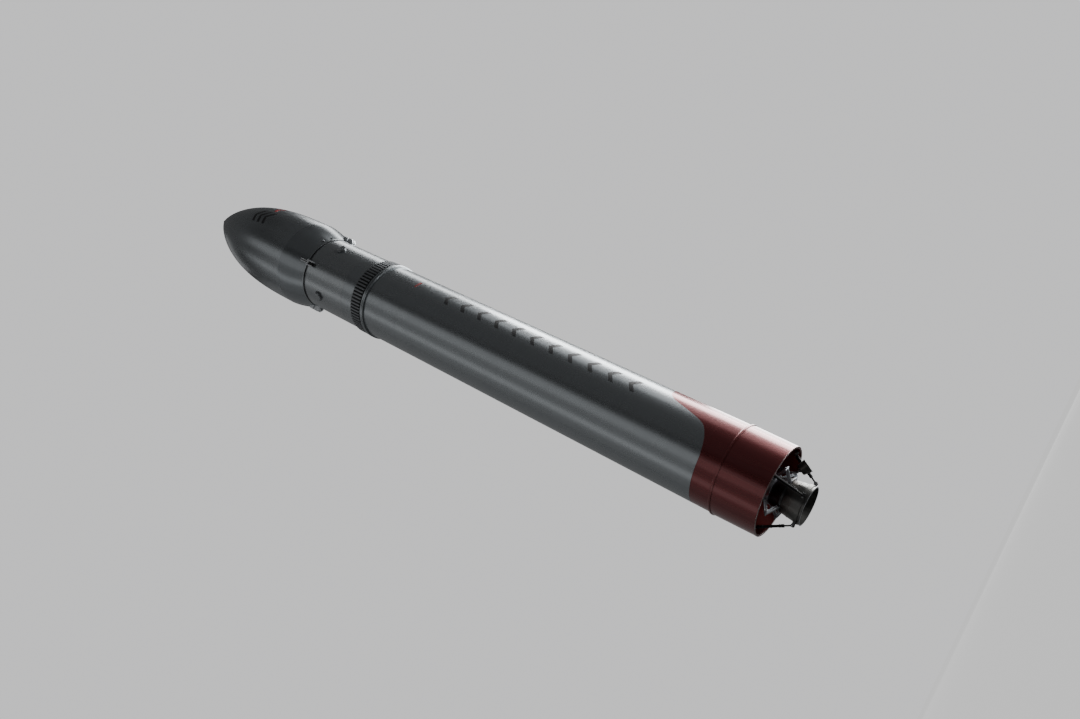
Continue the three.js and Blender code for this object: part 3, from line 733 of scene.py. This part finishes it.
def makeNozzle():
    skin = makeBell(bell)
    for share in bell["bandShares"]:
        radius = bellRadius(bell, share)
        height = bell["mouth"] + (bell["throat"] - bell["mouth"]) * share
        absorb(skin, makeBelt(radius + 0.004, radius - 0.006, height, 0.005, bell["rounds"], 0.002))
    finishPiece("nozzle_bell_skin", skin, "engine", "nozzleSkin nozzleInside brightSteel", "nozzle_bell")


clevis = {
    "bandHalf": 0.032, "bandProud": 0.012, "pinRadius": 0.395, "height": -0.440, "inner": 0.030,
    "outer": 0.042, "half": 0.022, "beyond": 0.020, "pin": 0.006, "head": 0.012, "headTall": 0.006,
}


def makeNozzleBand(bandHalf, bandProud, pinRadius, height, inner, outer, half, beyond, pin, head, headTall):
    skin, turns = bell["mouthRadius"], topPin["turns"]
    band = makeBelt(skin + bandProud, skin - lap, height, bandHalf, 144, 0.004)
    addPair(band, inner, outer, skin + lap, pinRadius + beyond, height - half, height + half, 0.005, 1,
            turns)
    for side in (-1, 1):
        start, end = (side * outer, -pinRadius, height), (side * (outer + headTall), -pinRadius, height)
        absorb(band, makeRod(start, end, head, 12, 0.001), 1, turns)
    absorb(band, makeCrossRod(outer, pinRadius, height, pin, 16), 1, turns)
    finishPiece("nozzle_band_clevises", band, "engine", "nozzleSkin plainAlloy", "nozzle_band")


brackets = {
    # columns: outer radius, inner radius, middle height, half height
    "belts": ((0.259, 0.240, 0.115, 0.045), (0.304, 0.288, -0.137, 0.022)),
    # columns: distance from the axis, height
    "outline": ((0.252, 0.151), (0.555, -0.028), (0.572, -0.046), (0.552, -0.064), (0.294, -0.157),
                (0.294, -0.115), (0.499, -0.040), (0.252, 0.105)),
    "half": 0.018, "webHalf": 0.007, "rib": 0.009, "shortest": 0.05, "pinRadius": 0.545, "pinHeight": -0.045,
    # columns: half length, radius
    "pins": ((0.055, 0.015), (0.024, 0.023)),
}


# Two belts round the nozzle, and on each diagonal a V of flanged plate that points outwards.
def makeStrutFrame(belts, outline, half, webHalf, rib, shortest, pinRadius, pinHeight, pins):
    whole = bmesh.new()
    for i, belt in enumerate(belts):
        absorb(whole, makeBelt(*belt, 96, 0.005), i)
    corners = [(-radius, height) for radius, height in outline]
    absorb(whole, makeUprightPlate(corners, 2 * webHalf, -webHalf, 0.002), 0, diagonals)
    for start, end in zip(corners, corners[1:]):
        if math.dist(start, end) > shortest:
            for x in (-half + rib, half - rib):
                absorb(whole, makeRod((x, *start), (x, *end), rib, 12), 0, diagonals)
    for reachOut, radius in pins:
        absorb(whole, makeCrossRod(reachOut, pinRadius, pinHeight, radius, 24, 0.003), 0, diagonals)
    finishPiece("strut_frame_brackets", whole, "engine", "brightSteel gunmetal", "strut_frame")


duct = {
    "mouth": (0.580, -0.150, -0.268), "aim": (0.852, 0.070, -0.519), "pipe": 0.018, "back": 0.092,
    "mouthRadius": 0.112, "length": 0.150, "wall": 0.008, "bend": 0.014, "floor": 0.030,
    "route": ((0.150, -0.070, 0.722), (0.250, -0.110, 0.690), (0.348, -0.122, 0.540), (0.358, -0.125, 0.260),
              (0.354, -0.132, 0.080), (0.364, -0.145, -0.060), (0.399, -0.157, -0.148)),
}


def makeExhaustDuct(mouth, aim, pipe, back, mouthRadius, length, wall, bend, floor, route):
    aim = Vector(aim).normalized()
    start = Vector(mouth) - aim * length
    whole = makePipe(smoothRoute([*route, start + aim * 0.010]), pipe, 8)
    outline = [(0, 0), (back - bend, 0), (back, bend), (mouthRadius, length), (mouthRadius - wall, length),
               (back - wall, floor), (0, floor)]
    lip = makeHoop(mouthRadius + 0.0015, mouthRadius - wall - 0.002, length - 0.007, length + 0.001,
                   soft=0.002)
    neck = makeHoop(pipe + 0.014, pipe - 0.006, -0.018, 0.004, 48)
    place = moved(*start) @ aimAlong(aim)
    for part, material in ((turnProfile(outline, 64, 0.004), 0), (lip, 1), (neck, 0)):
        absorb(whole, placePart(part, place), material)
    finishPiece("exhaust_duct_flare", whole, "engine", "nozzleSkin plainAlloy", "exhaust_duct")


cheek = {"inner": 0.028, "outer": 0.042, "half": 0.022, "beyond": 0.018, "pin": 0.010}
barrel = {
    "radius": 0.028, "start": 0.020, "shoulder": 0.022, "step": 0.010, "end": 0.460, "bore": 0.018,
    "boreStart": 0.205, "eye": 0.026, "eyeBore": 0.013, "eyeHalf": 0.022, "waist": (0.078, 0.405),
    "waistDepth": 0.005, "waistStep": 0.008, "line": 0.005, "lineOff": 0.037, "lineEnds": (0.09, 0.42),
    "strapHalf": 0.009,
}
rod = {"radius": 0.014, "start": 0.300, "eye": 0.033, "eyeHalf": 0.012, "eyeBore": 0.0255, "nut": 0.005,
       "nutRadius": 0.020}
# From the top pin to the pin on the nozzle: how far in, how far down
inwards, down = topPin["radius"] - clevis["pinRadius"], topPin["height"] - clevis["height"]
reach = math.hypot(inwards, down)
# Hangs what was built down from the top pin so that it points at the pin on the nozzle
hung = moved(0, -topPin["radius"], topPin["height"]) @ Matrix.Rotation(math.atan2(inwards, down), 4, "X")


def makeSwivel():
    height, radius, bore = topPin["height"], topPin["radius"], collar["bore"]
    outer, far = cheek["outer"], collar["outer"]
    ring = makeHoop(collar["radius"], bore, collar["inner"], far, 32, 0.002)
    whole = placePart(ring, moved(0, 0, height) @ frontwards)
    low, high = height - cheek["half"], height + cheek["half"]
    addPair(whole, cheek["inner"], outer, radius - cheek["beyond"], far, low, high, 0.005)
    addPair(whole, bore, outer, collar["inner"], far, low, high, 0.003)
    absorb(whole, makeCrossRod(outer + 0.003, radius, height, cheek["pin"], 20), 1)
    return whole


def makeBarrel():
    radius, bore, off, wide = barrel["radius"], barrel["bore"], barrel["lineOff"], barrel["strapHalf"]
    start, end, boreStart = -barrel["start"], -barrel["end"], -barrel["boreStart"]
    (high, low), thin, step = barrel["waist"], radius - barrel["waistDepth"], barrel["waistStep"]
    outline = [(0, start), (radius - barrel["step"], start), (radius, start - barrel["shoulder"]),
               (radius, -high), (thin, -high - step), (thin, -low), (radius, -low - step), (radius, end),
               (bore, end), (bore, boreStart), (0, boreStart)]
    body = turnProfile(outline, 40, 0.002)
    eye = makeBelt(barrel["eye"], barrel["eyeBore"], 0, barrel["eyeHalf"], 32, 0.002)
    absorb(body, placePart(eye, sideways))
    near, far = barrel["lineEnds"]
    absorb(body, makeRod((off, 0, -near), (off, 0, -far), barrel["line"], 20, 0.004))
    for depth in (near + 0.03, (near + far) / 2, far - 0.03):
        strap = makeBlock((radius - 0.007, -wide, -depth - 0.008), (off, wide, -depth + 0.008), 0.002)
        absorb(body, strap)
        hoop = makeBelt(radius + 0.002, radius - 0.008, 0, wide, 40, 0.002)
        absorb(body, placePart(hoop, moved(0, 0, -depth)))
    return placePart(body, hung)


def makeActuatorRod():
    eye = placePart(makeBelt(rod["eye"], rod["eyeBore"], 0, rod["eyeHalf"], 32), sideways)
    placePart(eye, moved(0, 0, -reach))
    start = -reach + rod["eye"]
    absorb(eye, makeRod((0, 0, start - deepLap), (0, 0, -rod["start"]), rod["radius"], 28))
    absorb(eye, makeRod((0, 0, start - lap), (0, 0, start + rod["nut"]), rod["nutRadius"], 6))
    return placePart(eye, hung)


# columns: kind, last word of the name, how it is made, finishes
actuatorPieces = (
    ("swivel", "yoke", makeSwivel, "plainAlloy brightSteel"),
    ("barrel", "body", makeBarrel, "gunmetal"),
    ("rod", "shaft", makeActuatorRod, "gunmetal"),
)


def makeActuators():
    for number, degrees in enumerate(topPin["turns"], 1):
        for kind, last, make, looks in actuatorPieces:
            node = f"actuator_{kind}_{number}"
            finishPiece(f"{node}_{last}", make(), f"actuator_{number}_{kind}", looks, node, turn=degrees)


# Second stage

upperTank = {"rounds": 192, "dome": 0.190, "inset": 0.030, "soft": 0.002}


def makeUpperTank(rounds, dome, inset, soft):
    low, high = nodeSpan("second_stage_tank")
    joint = low + dome
    outline = domePoints(bodyRadius - inset, joint, -dome)[::-1]
    outline += [(bodyRadius - soft, joint), (bodyRadius, joint + soft), (bodyRadius, high - soft),
                (bodyRadius - soft, high), (0, high)]
    finishPiece("second_stage_tank_skin", turnProfile(outline, rounds), "second_stage", "silverPaint",
                "second_stage_tank")


upperEngine = {
    "footShare": 0.8, "footTall": 0.05, "headShare": 0.7, "headTall": 0.04, "beltOff": 0.07, "beltHalf": 0.01,
    "beltProud": 0.008,
}


def makeUpperEngine(footShare, footTall, headShare, headTall, beltOff, beltHalf, beltProud):
    low, high = nodeSpan("second_stage_engine")
    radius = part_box("second_stage_engine")[1].x
    outline = [(0, low), (radius * footShare, low), (radius, low + footTall), (radius, high - headTall),
               (radius * headShare, high), (0, high)]
    whole = turnProfile(outline, 48, 0.006)
    for height in (low + beltOff, high - beltOff):
        absorb(whole, makeBelt(radius + beltProud, radius - deepLap, height, beltHalf, 48))
    finishPiece("second_stage_engine_pump", whole, "second_stage", "plainAlloy", "second_stage_engine")
    finishPiece("second_stage_nozzle_skin", makeBell(upperBell), "second_stage",
                "nozzleSkin nozzleInside plainAlloy", "second_stage_nozzle")


# The groove under the fairing, in painted shade, with a thin lip below it
baseGroove = {"rounds": 192, "reach": 0.060, "lip": 0.007, "proud": 0.003}


def makeBaseRing(rounds, reach, lip, proud):
    low, high = nodeSpan("fairing_base_ring")
    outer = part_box("fairing_base_ring")[1].x
    outline = [(0, low), (outer - 0.004, low), (outer, low + 0.005), (outer, high - 0.003),
               (outer - 0.010, high), (0, high)]
    disc = turnProfile(outline, rounds, 0.002)
    # The outer edge of the disc is in painted shade.
    paintFaces(disc, 1, lambda middle: middle.xy.length > outer - reach)
    absorb(disc, makeHoop(outer + proud, outer - lap, low, low + lip, rounds, 0.002))
    finishPiece("fairing_base_disc", disc, "second_stage", "silverPaint recessDark", "fairing_base_ring")


adapter = {
    "footRadius": 0.620, "footDepth": 0.025, "footWidth": 0.03, "waist": 0.330, "topRadius": 0.360,
    "topDepth": 0.030, "bolts": 24, "bolt": 0.008,
}


def makeAdapter(footRadius, footDepth, footWidth, waist, topRadius, topDepth, bolts, bolt):
    low, high = nodeSpan("payload_adapter")
    foot, neck = low + footDepth, high - topDepth
    outline = [(0, low), (footRadius, low), (footRadius, foot), (footRadius - footWidth, foot), (waist, neck),
               (topRadius, neck), (topRadius, high), (0, high)]
    cone = turnProfile(outline, 96, 0.003)
    # columns: distance from the axis, lower end, upper end
    rows = (footRadius - 0.014, foot - lap, foot + 0.008), (topRadius - 0.03, high - deepLap, high)
    for spot, start, end in rows:
        absorb(cone, makeRod((0, -spot, start), (0, -spot, end), bolt, 6, 0), 0, evenTurns(bolts))
    finishPiece("payload_adapter_cone", cone, "second_stage", "plainAlloy", "payload_adapter")


pod = {
    "height": 10.480, "crest": 0.850, "foot": 0.780,
    # columns: across, along
    "outline": ((-0.120, 0.062), (-0.060, 0.105), (0, 0.062), (0.060, 0.105), (0.120, 0.062), (0.096, -0.030),
                (0, -0.105), (-0.096, -0.030)),
    "inset": 0.80, "step": 0.012, "jet": 0.017, "jetSpots": ((-0.058, 0.030), (0.058, 0.030)),
}


def makePod(height, crest, foot, outline, inset, step, jet, jetSpots):
    facing, top = moved(0, 0, height) @ frontwards, crest - step
    whole = makePlate(outline, top - foot, facing @ moved(0, 0, foot), 0.012)
    paintFaces(whole, 1)
    smaller = [(x * inset, y * inset) for x, y in outline]
    absorb(whole, makePlate(smaller, step, facing @ moved(0, 0, top - lap), 0.004))
    profile = [(0.010, 0), (jet * 0.6, 0), (jet, 0.020), (jet - 0.003, 0.020), (0.010, 0.006)]
    for x, y in jetSpots:
        absorb(whole, placePart(turnProfile(profile, 24, 0.001), facing @ moved(x, y, top - 0.012)), 1)
    return whole


def makePods():
    for number, degrees in enumerate(diagonals, 1):
        node = f"thruster_pod_{number}"
        finishPiece(node + "_cover", makePod(**pod), "second_stage", "silverPaint ribGrey", node,
                    turn=degrees)


hinge = {
    "half": 0.062, "armHalf": 0.028, "cheekInner": 0.034, "low": 10.800, "floorTop": 10.915,
    "cheekTop": 10.975, "outer": 0.884, "foot": 0.795, "pinRadius": 0.856, "pinHeight": 10.950,
    "pin": 0.012, "nut": 0.017,
    "boss": 0.024, "armTop": 11.165, "armOuter": 0.905, "flange": 0.019, "web": 0.034,
}
# Where the hinges stand, and which half of the fairing each one carries
halves = (("front", 0), ("back", 180))
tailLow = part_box("fairing_front")[0].z


def makeHingeBase():
    half, foot, outer, low = hinge["half"], hinge["foot"], hinge["outer"], hinge["low"]
    radius, height = hinge["pinRadius"], hinge["pinHeight"]
    whole = makeSlab(half - 0.005, foot, outer - 0.012, low + 0.008, hinge["floorTop"], 0.006)
    # The floor block between the cheeks is in painted shade.
    paintFaces(whole, 2)
    addPair(whole, hinge["cheekInner"], half, foot, outer, low + 0.004, hinge["cheekTop"], 0.008)
    for side in (-1, 1):
        start, end = side * (half - 0.004), side * (half + 0.004)
        absorb(whole, makeRod((start, -radius, height), (end, -radius, height), hinge["nut"], 6), 1)
    absorb(whole, makeCrossRod(half, radius, height, hinge["pin"], 20), 1)
    return whole


# The arm is a channel: two side flanges with a lower web between them. The web is in painted shade.
def makeHingeArm():
    radius, height, half = hinge["pinRadius"], hinge["pinHeight"], hinge["armHalf"]
    outer, top, wide = hinge["armOuter"], hinge["armTop"], hinge["flange"]

    def outline(drop):
        return [(-radius + 0.020, height), (-radius - 0.024 + drop, height),
                (-radius - 0.030 + drop, height + 0.070), (-outer + drop, top - 0.040),
                (-outer + 0.012 + drop, top), (-0.820, top), (-0.790, tailLow + 0.010),
                (-0.815, tailLow - 0.004)]

    whole = makeUprightPlate(outline(hinge["web"]), 2 * half - 0.004, -half + 0.002)
    paintFaces(whole, 1)
    for start in (-half, half - wide):
        absorb(whole, makeUprightPlate(outline(0), wide, start))
    boss = makeBelt(hinge["boss"], hinge["pin"] + 0.002, 0, half, 32, 0.002)
    absorb(whole, placePart(boss, moved(0, -radius, height) @ sideways))
    return whole


def makeHinges():
    for name, degrees in halves:
        finishPiece(f"{name}_hinge_cheeks", makeHingeBase(), "second_stage",
                    "trimPaint brightSteel recessDark", f"{name}_hinge_base", turn=degrees)
        finishPiece(f"{name}_hinge_channel", makeHingeArm(), f"fairing_{name}_half", "trimPaint recessDark",
                    f"{name}_hinge_arm", turn=degrees)


latch = {
    "half": 0.062, "low": 10.810, "high": 10.978, "outer": 0.905, "foot": 0.790, "slope": 0.060,
    "slot": 0.012, "sunk": 0.030,
}


# Two lobes with a lower bridge between them. The bridge is in painted shade.
def makeLatchBase(half, low, high, outer, foot, slope, slot, sunk):
    lobe, bridge = ([(-foot, low), (-reachOut + slope, low), (-reachOut, low + slope), (-reachOut, high),
                     (-foot, high)] for reachOut in (outer, outer - sunk))
    whole = makeUprightPlate(lobe, half - slot, -half, 0.010)
    absorb(whole, makeUprightPlate(lobe, half - slot, slot, 0.010))
    absorb(whole, makeUprightPlate(bridge, 2 * slot, -slot, 0.002), 1)
    return whole


def makeLatches():
    for name, degrees in (("right", 90), ("left", 270)):
        finishPiece(f"{name}_latch_lobes", makeLatchBase(**latch), "second_stage", "trimPaint recessDark",
                    f"{name}_latch_base", turn=degrees)


# Fairing

fairing = {
    "rounds": 192, "radius": 0.978, "lowRadius": 0.808, "crease": 11.686, "tip": 15.187, "rim": 0.008,
    "wall": 0.030, "bead": 0.007, "beadTall": 0.028, "split": 0.003, "nosePower": 2.98, "noseEase": 1.02,
    "tailPower": 1.5, "noseSteps": 56, "noseCrowd": 1.6, "tailSteps": 18, "capShare": 0.985, "capRise": 0.72,
    "step": 0.0015, "insideSteps": 40, "insideCrowd": 1.3, "insideShare": 0.955,
    "insideHoops": 6, "hoopPitch": 0.52, "hoopStart": 11.45, "hoopHalf": 0.015, "hoopDepth": 0.018,
    "earInner": 0.800, "earOuter": 0.905, "earHalf": 0.062, "earLow": 11.012, "earTop": 11.130,
}
crease, tip, widest, wall, step = (fairing[key] for key in ("crease", "tip", "radius", "wall", "step"))


def fairingRadius(height):
    if height < crease:
        share = (crease - height) / (crease - tailLow - fairing["rim"])
        return widest - (widest - fairing["lowRadius"]) * min(share, 1) ** fairing["tailPower"]
    share = (height - crease) / (tip - crease)
    return widest * max(0, 1 - share ** fairing["nosePower"]) ** fairing["noseEase"]


def fairingOutline():
    start, tailCount, noseCount = tailLow + fairing["rim"], fairing["tailSteps"] - 1, fairing["noseSteps"] - 1
    outside = [(fairing["lowRadius"], tailLow + 0.002)]
    for i in range(tailCount + 1):
        height = start + (crease - 0.004 - start) * i / tailCount
        outside.append((fairingRadius(height), height))
    outside.append((widest - step * 2, crease - 0.0015))
    for i in range(noseCount + 1):
        share = fairing["capShare"] * (1 - (1 - i / noseCount) ** fairing["noseCrowd"])
        height = crease + (tip - crease) * share + 0.0015
        outside.append((fairingRadius(height) - step * (1 - share), height))
    lastRadius, lastHeight = outside[-1]
    rise = (tip - lastHeight) * fairing["capRise"]
    for degrees in (30, 55, 75, 90):
        turn = math.radians(degrees)
        radius = lastRadius * math.cos(turn) if degrees < 90 else 0.0
        outside.append((radius, lastHeight + rise * math.sin(turn)))
    return outside


def fairingInside():
    half, depth, steps = fairing["hoopHalf"], fairing["hoopDepth"], fairing["insideSteps"]
    hoops = [fairing["hoopStart"] + i * fairing["hoopPitch"] for i in range(fairing["insideHoops"])]
    low, top = tailLow + 0.016, crease + (tip - crease) * fairing["insideShare"]
    inside = []
    for i in range(steps + 1):
        height = low + (top - low) * (1 - (1 - i / steps) ** fairing["insideCrowd"])
        if all(abs(height - hoop) > half * 1.5 for hoop in hoops):
            inside.append((fairingRadius(height) - wall, height))
    for hoop in hoops:
        for shift, inwards in ((-1, 0), (-1, 1), (1, 1), (1, 0)):
            height = hoop + shift * half
            inside.append((fairingRadius(height) - wall - inwards * depth, height + inwards * shift * -0.001))
    inside.sort(key=lambda point: point[1])
    return [(fairing["lowRadius"] - wall, tailLow)] + inside + [(0.0, inside[-1][1] + 0.02)]


def makeFairingHalf():
    low, split = fairing["lowRadius"], fairing["split"]
    shell = turnProfile(fairingOutline()[::-1] + fairingInside(), fairing["rounds"])
    # The tail below the crease takes the darker copy of the silver paint: painted shade.
    paintFaces(shell, 2, lambda middle: middle.z < crease)
    paintFaces(shell, 1, lambda middle: middle.xy.length < fairingRadius(middle.z) - wall * 0.6)
    absorb(shell, makeHoop(low + fairing["bead"], low - deepLap, tailLow, tailLow + fairing["beadTall"],
                           fairing["rounds"]))
    everything = shell.verts[:] + shell.edges[:] + shell.faces[:]
    bmesh.ops.bisect_plane(shell, geom=everything, dist=1e-6, plane_co=(0, -split, 0),
                           plane_no=(0, 1, 0), clear_outer=True)
    rim = [edge for edge in shell.edges if edge.is_boundary]
    bmesh.ops.edgeloop_fill(shell, edges=rim)
    bmesh.ops.recalc_face_normals(shell, faces=shell.faces)
    addPair(shell, fairing["earInner"], fairing["earOuter"], split + 0.006, fairing["earHalf"],
            fairing["earLow"], fairing["earTop"], 0.016, 3)
    return shell


knob = {"turn": 43.5, "height": 11.074, "radius": 0.019}
port = {"turn": 58.3, "height": 11.067, "radius": 0.016}
# columns: which one, how far it stands out, share of its radius, softness of its edge, finish
knobParts = ((knob, 0.006, 1.5, 0.002, 1), (knob, 0.012, 0.7, 0.003, 0), (knob, 0.022, 1, 0.003, 0),
             (port, 0.006, 1.5, 0.002, 1))


# A bright knob on a seat in painted shade, and a small port in painted shade beside it, low on each half's
# tail.
def makeKnobs():
    whole = bmesh.new()
    for facts, out, share, soft, material in knobParts:
        turn, height = facts["turn"], facts["height"]
        skin = fairingRadius(height)
        start, end = onBody(turn, skin - 0.01, height), onBody(turn, skin + out, height)
        absorb(whole, makeRod(start, end, facts["radius"] * share, 20, soft), material)
    return whole


def makeFairing():
    for name, degrees in halves:
        body = f"fairing_{name}_half"
        finishPiece(f"fairing_{name}_shell", makeFairingHalf(), body,
                    "silverPaint liningPale tailPaint trimPaint", f"fairing_{name}", turn=degrees)
        finishPiece(f"fairing_{name}_knobs", makeKnobs(), body, "brightSteel recessDark", turn=degrees)


# Plain painted marks

# A thin slab of paint on the skin, wide across and long up the body. climb is its rise across.
def makeMark(degrees, height, width, length, climb, radiusAt, proud=0.0012):
    part = bmesh.new()
    bmesh.ops.create_grid(part, x_segments=8, y_segments=3, size=0.5)
    for vert in part.verts:
        across = vert.co.x * width
        level = height + vert.co.y * length + climb * across
        radius = radiusAt(level) + proud
        vert.co = onBody(degrees + math.degrees(across / radius), radius, level)
    bmesh.ops.recalc_face_normals(part, faces=part.faces)
    bmesh.ops.solidify(part, geom=part.faces, thickness=proud + 0.0008)
    bmesh.ops.recalc_face_normals(part, faces=part.faces)
    return part


def addChevron(whole, degrees, height, width, stroke, climb, radiusAt, material=0):
    shift = math.degrees(width / 4 / radiusAt(height))
    for side in (-1, 1):
        leg = makeMark(degrees + side * shift, height, width / 2, stroke, -side * climb, radiusAt)
        absorb(whole, leg, material)


def tankRadiusAt(height):
    return bodyRadius


tankMarks = {
    "turn": 45, "start": 2.85, "pitch": 0.44, "count": 11, "width": 0.32, "stroke": 0.095, "climb": 0.75,
    # columns: degrees, height, width, length, climb
    "bar": (46, 8.14, 0.20, 0.05, 0),
}


def makeTankMarks(turn, start, pitch, count, width, stroke, climb, bar):
    marks = bmesh.new()
    for i in range(count):
        addChevron(marks, turn, start + i * pitch, width, stroke, climb, tankRadiusAt)
    finishPiece("tank_chevrons", marks, "first_stage", "markDark")
    finishPiece("forward_skirt_bar", makeMark(*bar, tankRadiusAt), "first_stage", "markRed")


fairingMarks = {
    "stroke": 0.085, "climb": 0.6,
    # columns: degrees, height, width, finish
    "chevrons": ((34, 12.86, 0.42, 0), (34, 13.05, 0.42, 0), (34, 13.24, 0.42, 0), (60, 12.98, 0.28, 1)),
}


def makeFairingMarks(stroke, climb, chevrons):
    marks = bmesh.new()
    for degrees, height, width, material in chevrons:
        addChevron(marks, degrees, height, width, stroke, climb, fairingRadius, material)
    finishPiece("fairing_chevrons", marks, "fairing_front_half", "markDark markRed")


makeAftSkirt()
makeSeamBand()
makeTank()
makeStraightSkirt("forward_skirt", "first_stage", forwardSkirt)
makeFlange(**flange)
makeRibbedRing(**ribbedRing)
print("first stage shells made")
makeThrustFrame(**thrust)
makeGimbal(**gimbal)
makeEngineBlock(**pump)
makeNozzle()
makeNozzleBand(**clevis)
makeStrutFrame(**brackets)
makeExhaustDuct(**duct)
makeActuators()
print("engine end made")
makeStraightSkirt("second_stage_skirt", "second_stage", upperSkirt)
makeUpperTank(**upperTank)
makeUpperEngine(**upperEngine)
makeBaseRing(**baseGroove)
makeAdapter(**adapter)
makePods()
makeHinges()
makeLatches()
print("second stage made")
makeFairing()
makeTankMarks(**tankMarks)
makeFairingMarks(**fairingMarks)
print("fairing and marks made")


# Studio

# Where the photograph was taken from, what its middle shows, and how far the camera leans over
shot = {"lens": 28.0, "place": (0.0, -13.870, -3.078), "aim": (0.2741, 0.0, 5.0905), "lean": 64.572,
        "farthest": 1000}
studio = {"floorHeight": -3.2, "floorRadius": 400.0, "floorShade": 0.08, "floorGlow": 0.745,
          "floorRough": 0.9, "backShade": 0.78, "fillShade": 0.040}
# columns: degrees round the body, distance, middle height, height aimed at, width, length, brightness
softboxes = {
    "sunStrip": (122, 13.0, 8.5, 8.5, 5.0, 13.0, 13.0),
    "sunSide": (96, 13.0, 9.0, 9.0, 6.0, 14.0, 0.9),
    "sunMiddle": (124, 13.0, 18.0, 18.0, 4.0, 6.0, 4.4),
    "sunUpper": (126, 13.0, 23.5, 23.5, 5.0, 5.0, 4.0),
    "sunLow": (150, 13.0, 2.5, 2.5, 10.0, 7.0, 8.0),
    "nozzleSun": (110, 13.0, 0.8, 0.8, 8.0, 2.4, 10.0),
    "engineLow": (85, 5.0, -2.3, -2.3, 2.0, 1.2, 9.0),
    "frontStrip": (-60, 11.0, 15.0, 15.0, 2.6, 30.0, 0.42),
    "middleStrip": (-16, 9.0, 14.0, 14.0, 3.4, 28.0, 0.42),
    "rimStrip": (-165, 12.0, 7.0, 7.0, 3.0, 22.0, 0.3),
    "wideLeft": (-60, 14.0, 15.0, 15.0, 20.0, 30.0, 0.18),
    "wideBack": (-130, 14.0, 14.5, 14.5, 18.0, 29.0, 0.15),
    "wideRight": (45, 14.0, 15.0, 15.0, 18.0, 30.0, 0.05),
    "topBack": (-132, 8.0, 32.0, 32.0, 5.0, 16.0, 0.3),
    "ceiling": (0, 0.1, 36.0, 0.0, 22.0, 22.0, 0.045),
}


def placeCamera():
    camera = bpy.data.objects.new("camera", bpy.data.cameras.new("camera"))
    bpy.context.scene.collection.objects.link(camera)
    camera.data.lens = shot["lens"]
    camera.data.clip_end = shot["farthest"]
    place = Vector(shot["place"])
    over = Matrix.Rotation(math.radians(-shot["lean"]), 4, "Z")
    camera.matrix_world = Matrix.Translation(place) @ aimAlong(Vector(shot["aim"]) - place, "-Z") @ over
    bpy.context.scene.camera = camera


def layFloor():
    part = bmesh.new()
    bmesh.ops.create_circle(part, cap_ends=True, segments=96, radius=studio["floorRadius"],
                            matrix=moved(0, 0, studio["floorHeight"]))
    mesh = bpy.data.meshes.new("floor")
    part.to_mesh(mesh)
    part.free()
    paper = bpy.data.materials.new("floorPaper")
    paper.use_nodes = True
    tree, shade, glow = paper.node_tree, studio["floorShade"], studio["floorGlow"]
    setInputs(tree, tree.nodes["Principled BSDF"], {
        "Base Color": (shade, shade, shade, 1), "Roughness": studio["floorRough"], "Specular IOR Level": 0,
        "Emission Color": (glow, glow, glow, 1),
        "Emission Strength": addNode(tree, "LightPath").outputs["Is Camera Ray"],
    })
    mesh.materials.append(paper)
    floor = bpy.data.objects.new("floor", mesh)
    bpy.context.scene.collection.objects.link(floor)


def hangSoftboxes():
    for name, (degrees, distance, height, aimed, width, length, bright) in softboxes.items():
        lamp = bpy.data.lights.new(name, "AREA")
        lamp.shape = "RECTANGLE"
        lamp.size = width
        lamp.size_y = length
        lamp.energy = bright * math.pi * width * length
        box = bpy.data.objects.new(name, lamp)
        bpy.context.scene.collection.objects.link(box)
        place = onBody(degrees, distance, height)
        box.matrix_world = moved(*place) @ aimAlong(Vector((-place.x, -place.y, aimed - height)), "-Z")
        box.visible_camera = False


def paintWorld():
    world = bpy.data.worlds.new("studioWalls")
    world.use_nodes = True
    tree = world.node_tree
    back, fill = studio["backShade"], studio["fillShade"]
    seen = tree.nodes["Background"]
    setInputs(tree, seen, {"Color": (back, back, back * 1.01, 1)})
    lit = addNode(tree, "Background", {"Color": (fill, fill, fill * 1.02, 1)})
    ray = addNode(tree, "LightPath").outputs["Is Camera Ray"]
    mixed = addNode(tree, "MixShader", {0: ray, 1: lit.outputs[0], 2: seen.outputs[0]})
    tree.links.new(mixed.outputs[0], tree.nodes["World Output"].inputs["Surface"])
    bpy.context.scene.world = world


placeCamera()
layFloor()
hangSoftboxes()
paintWorld()
print("studio set")
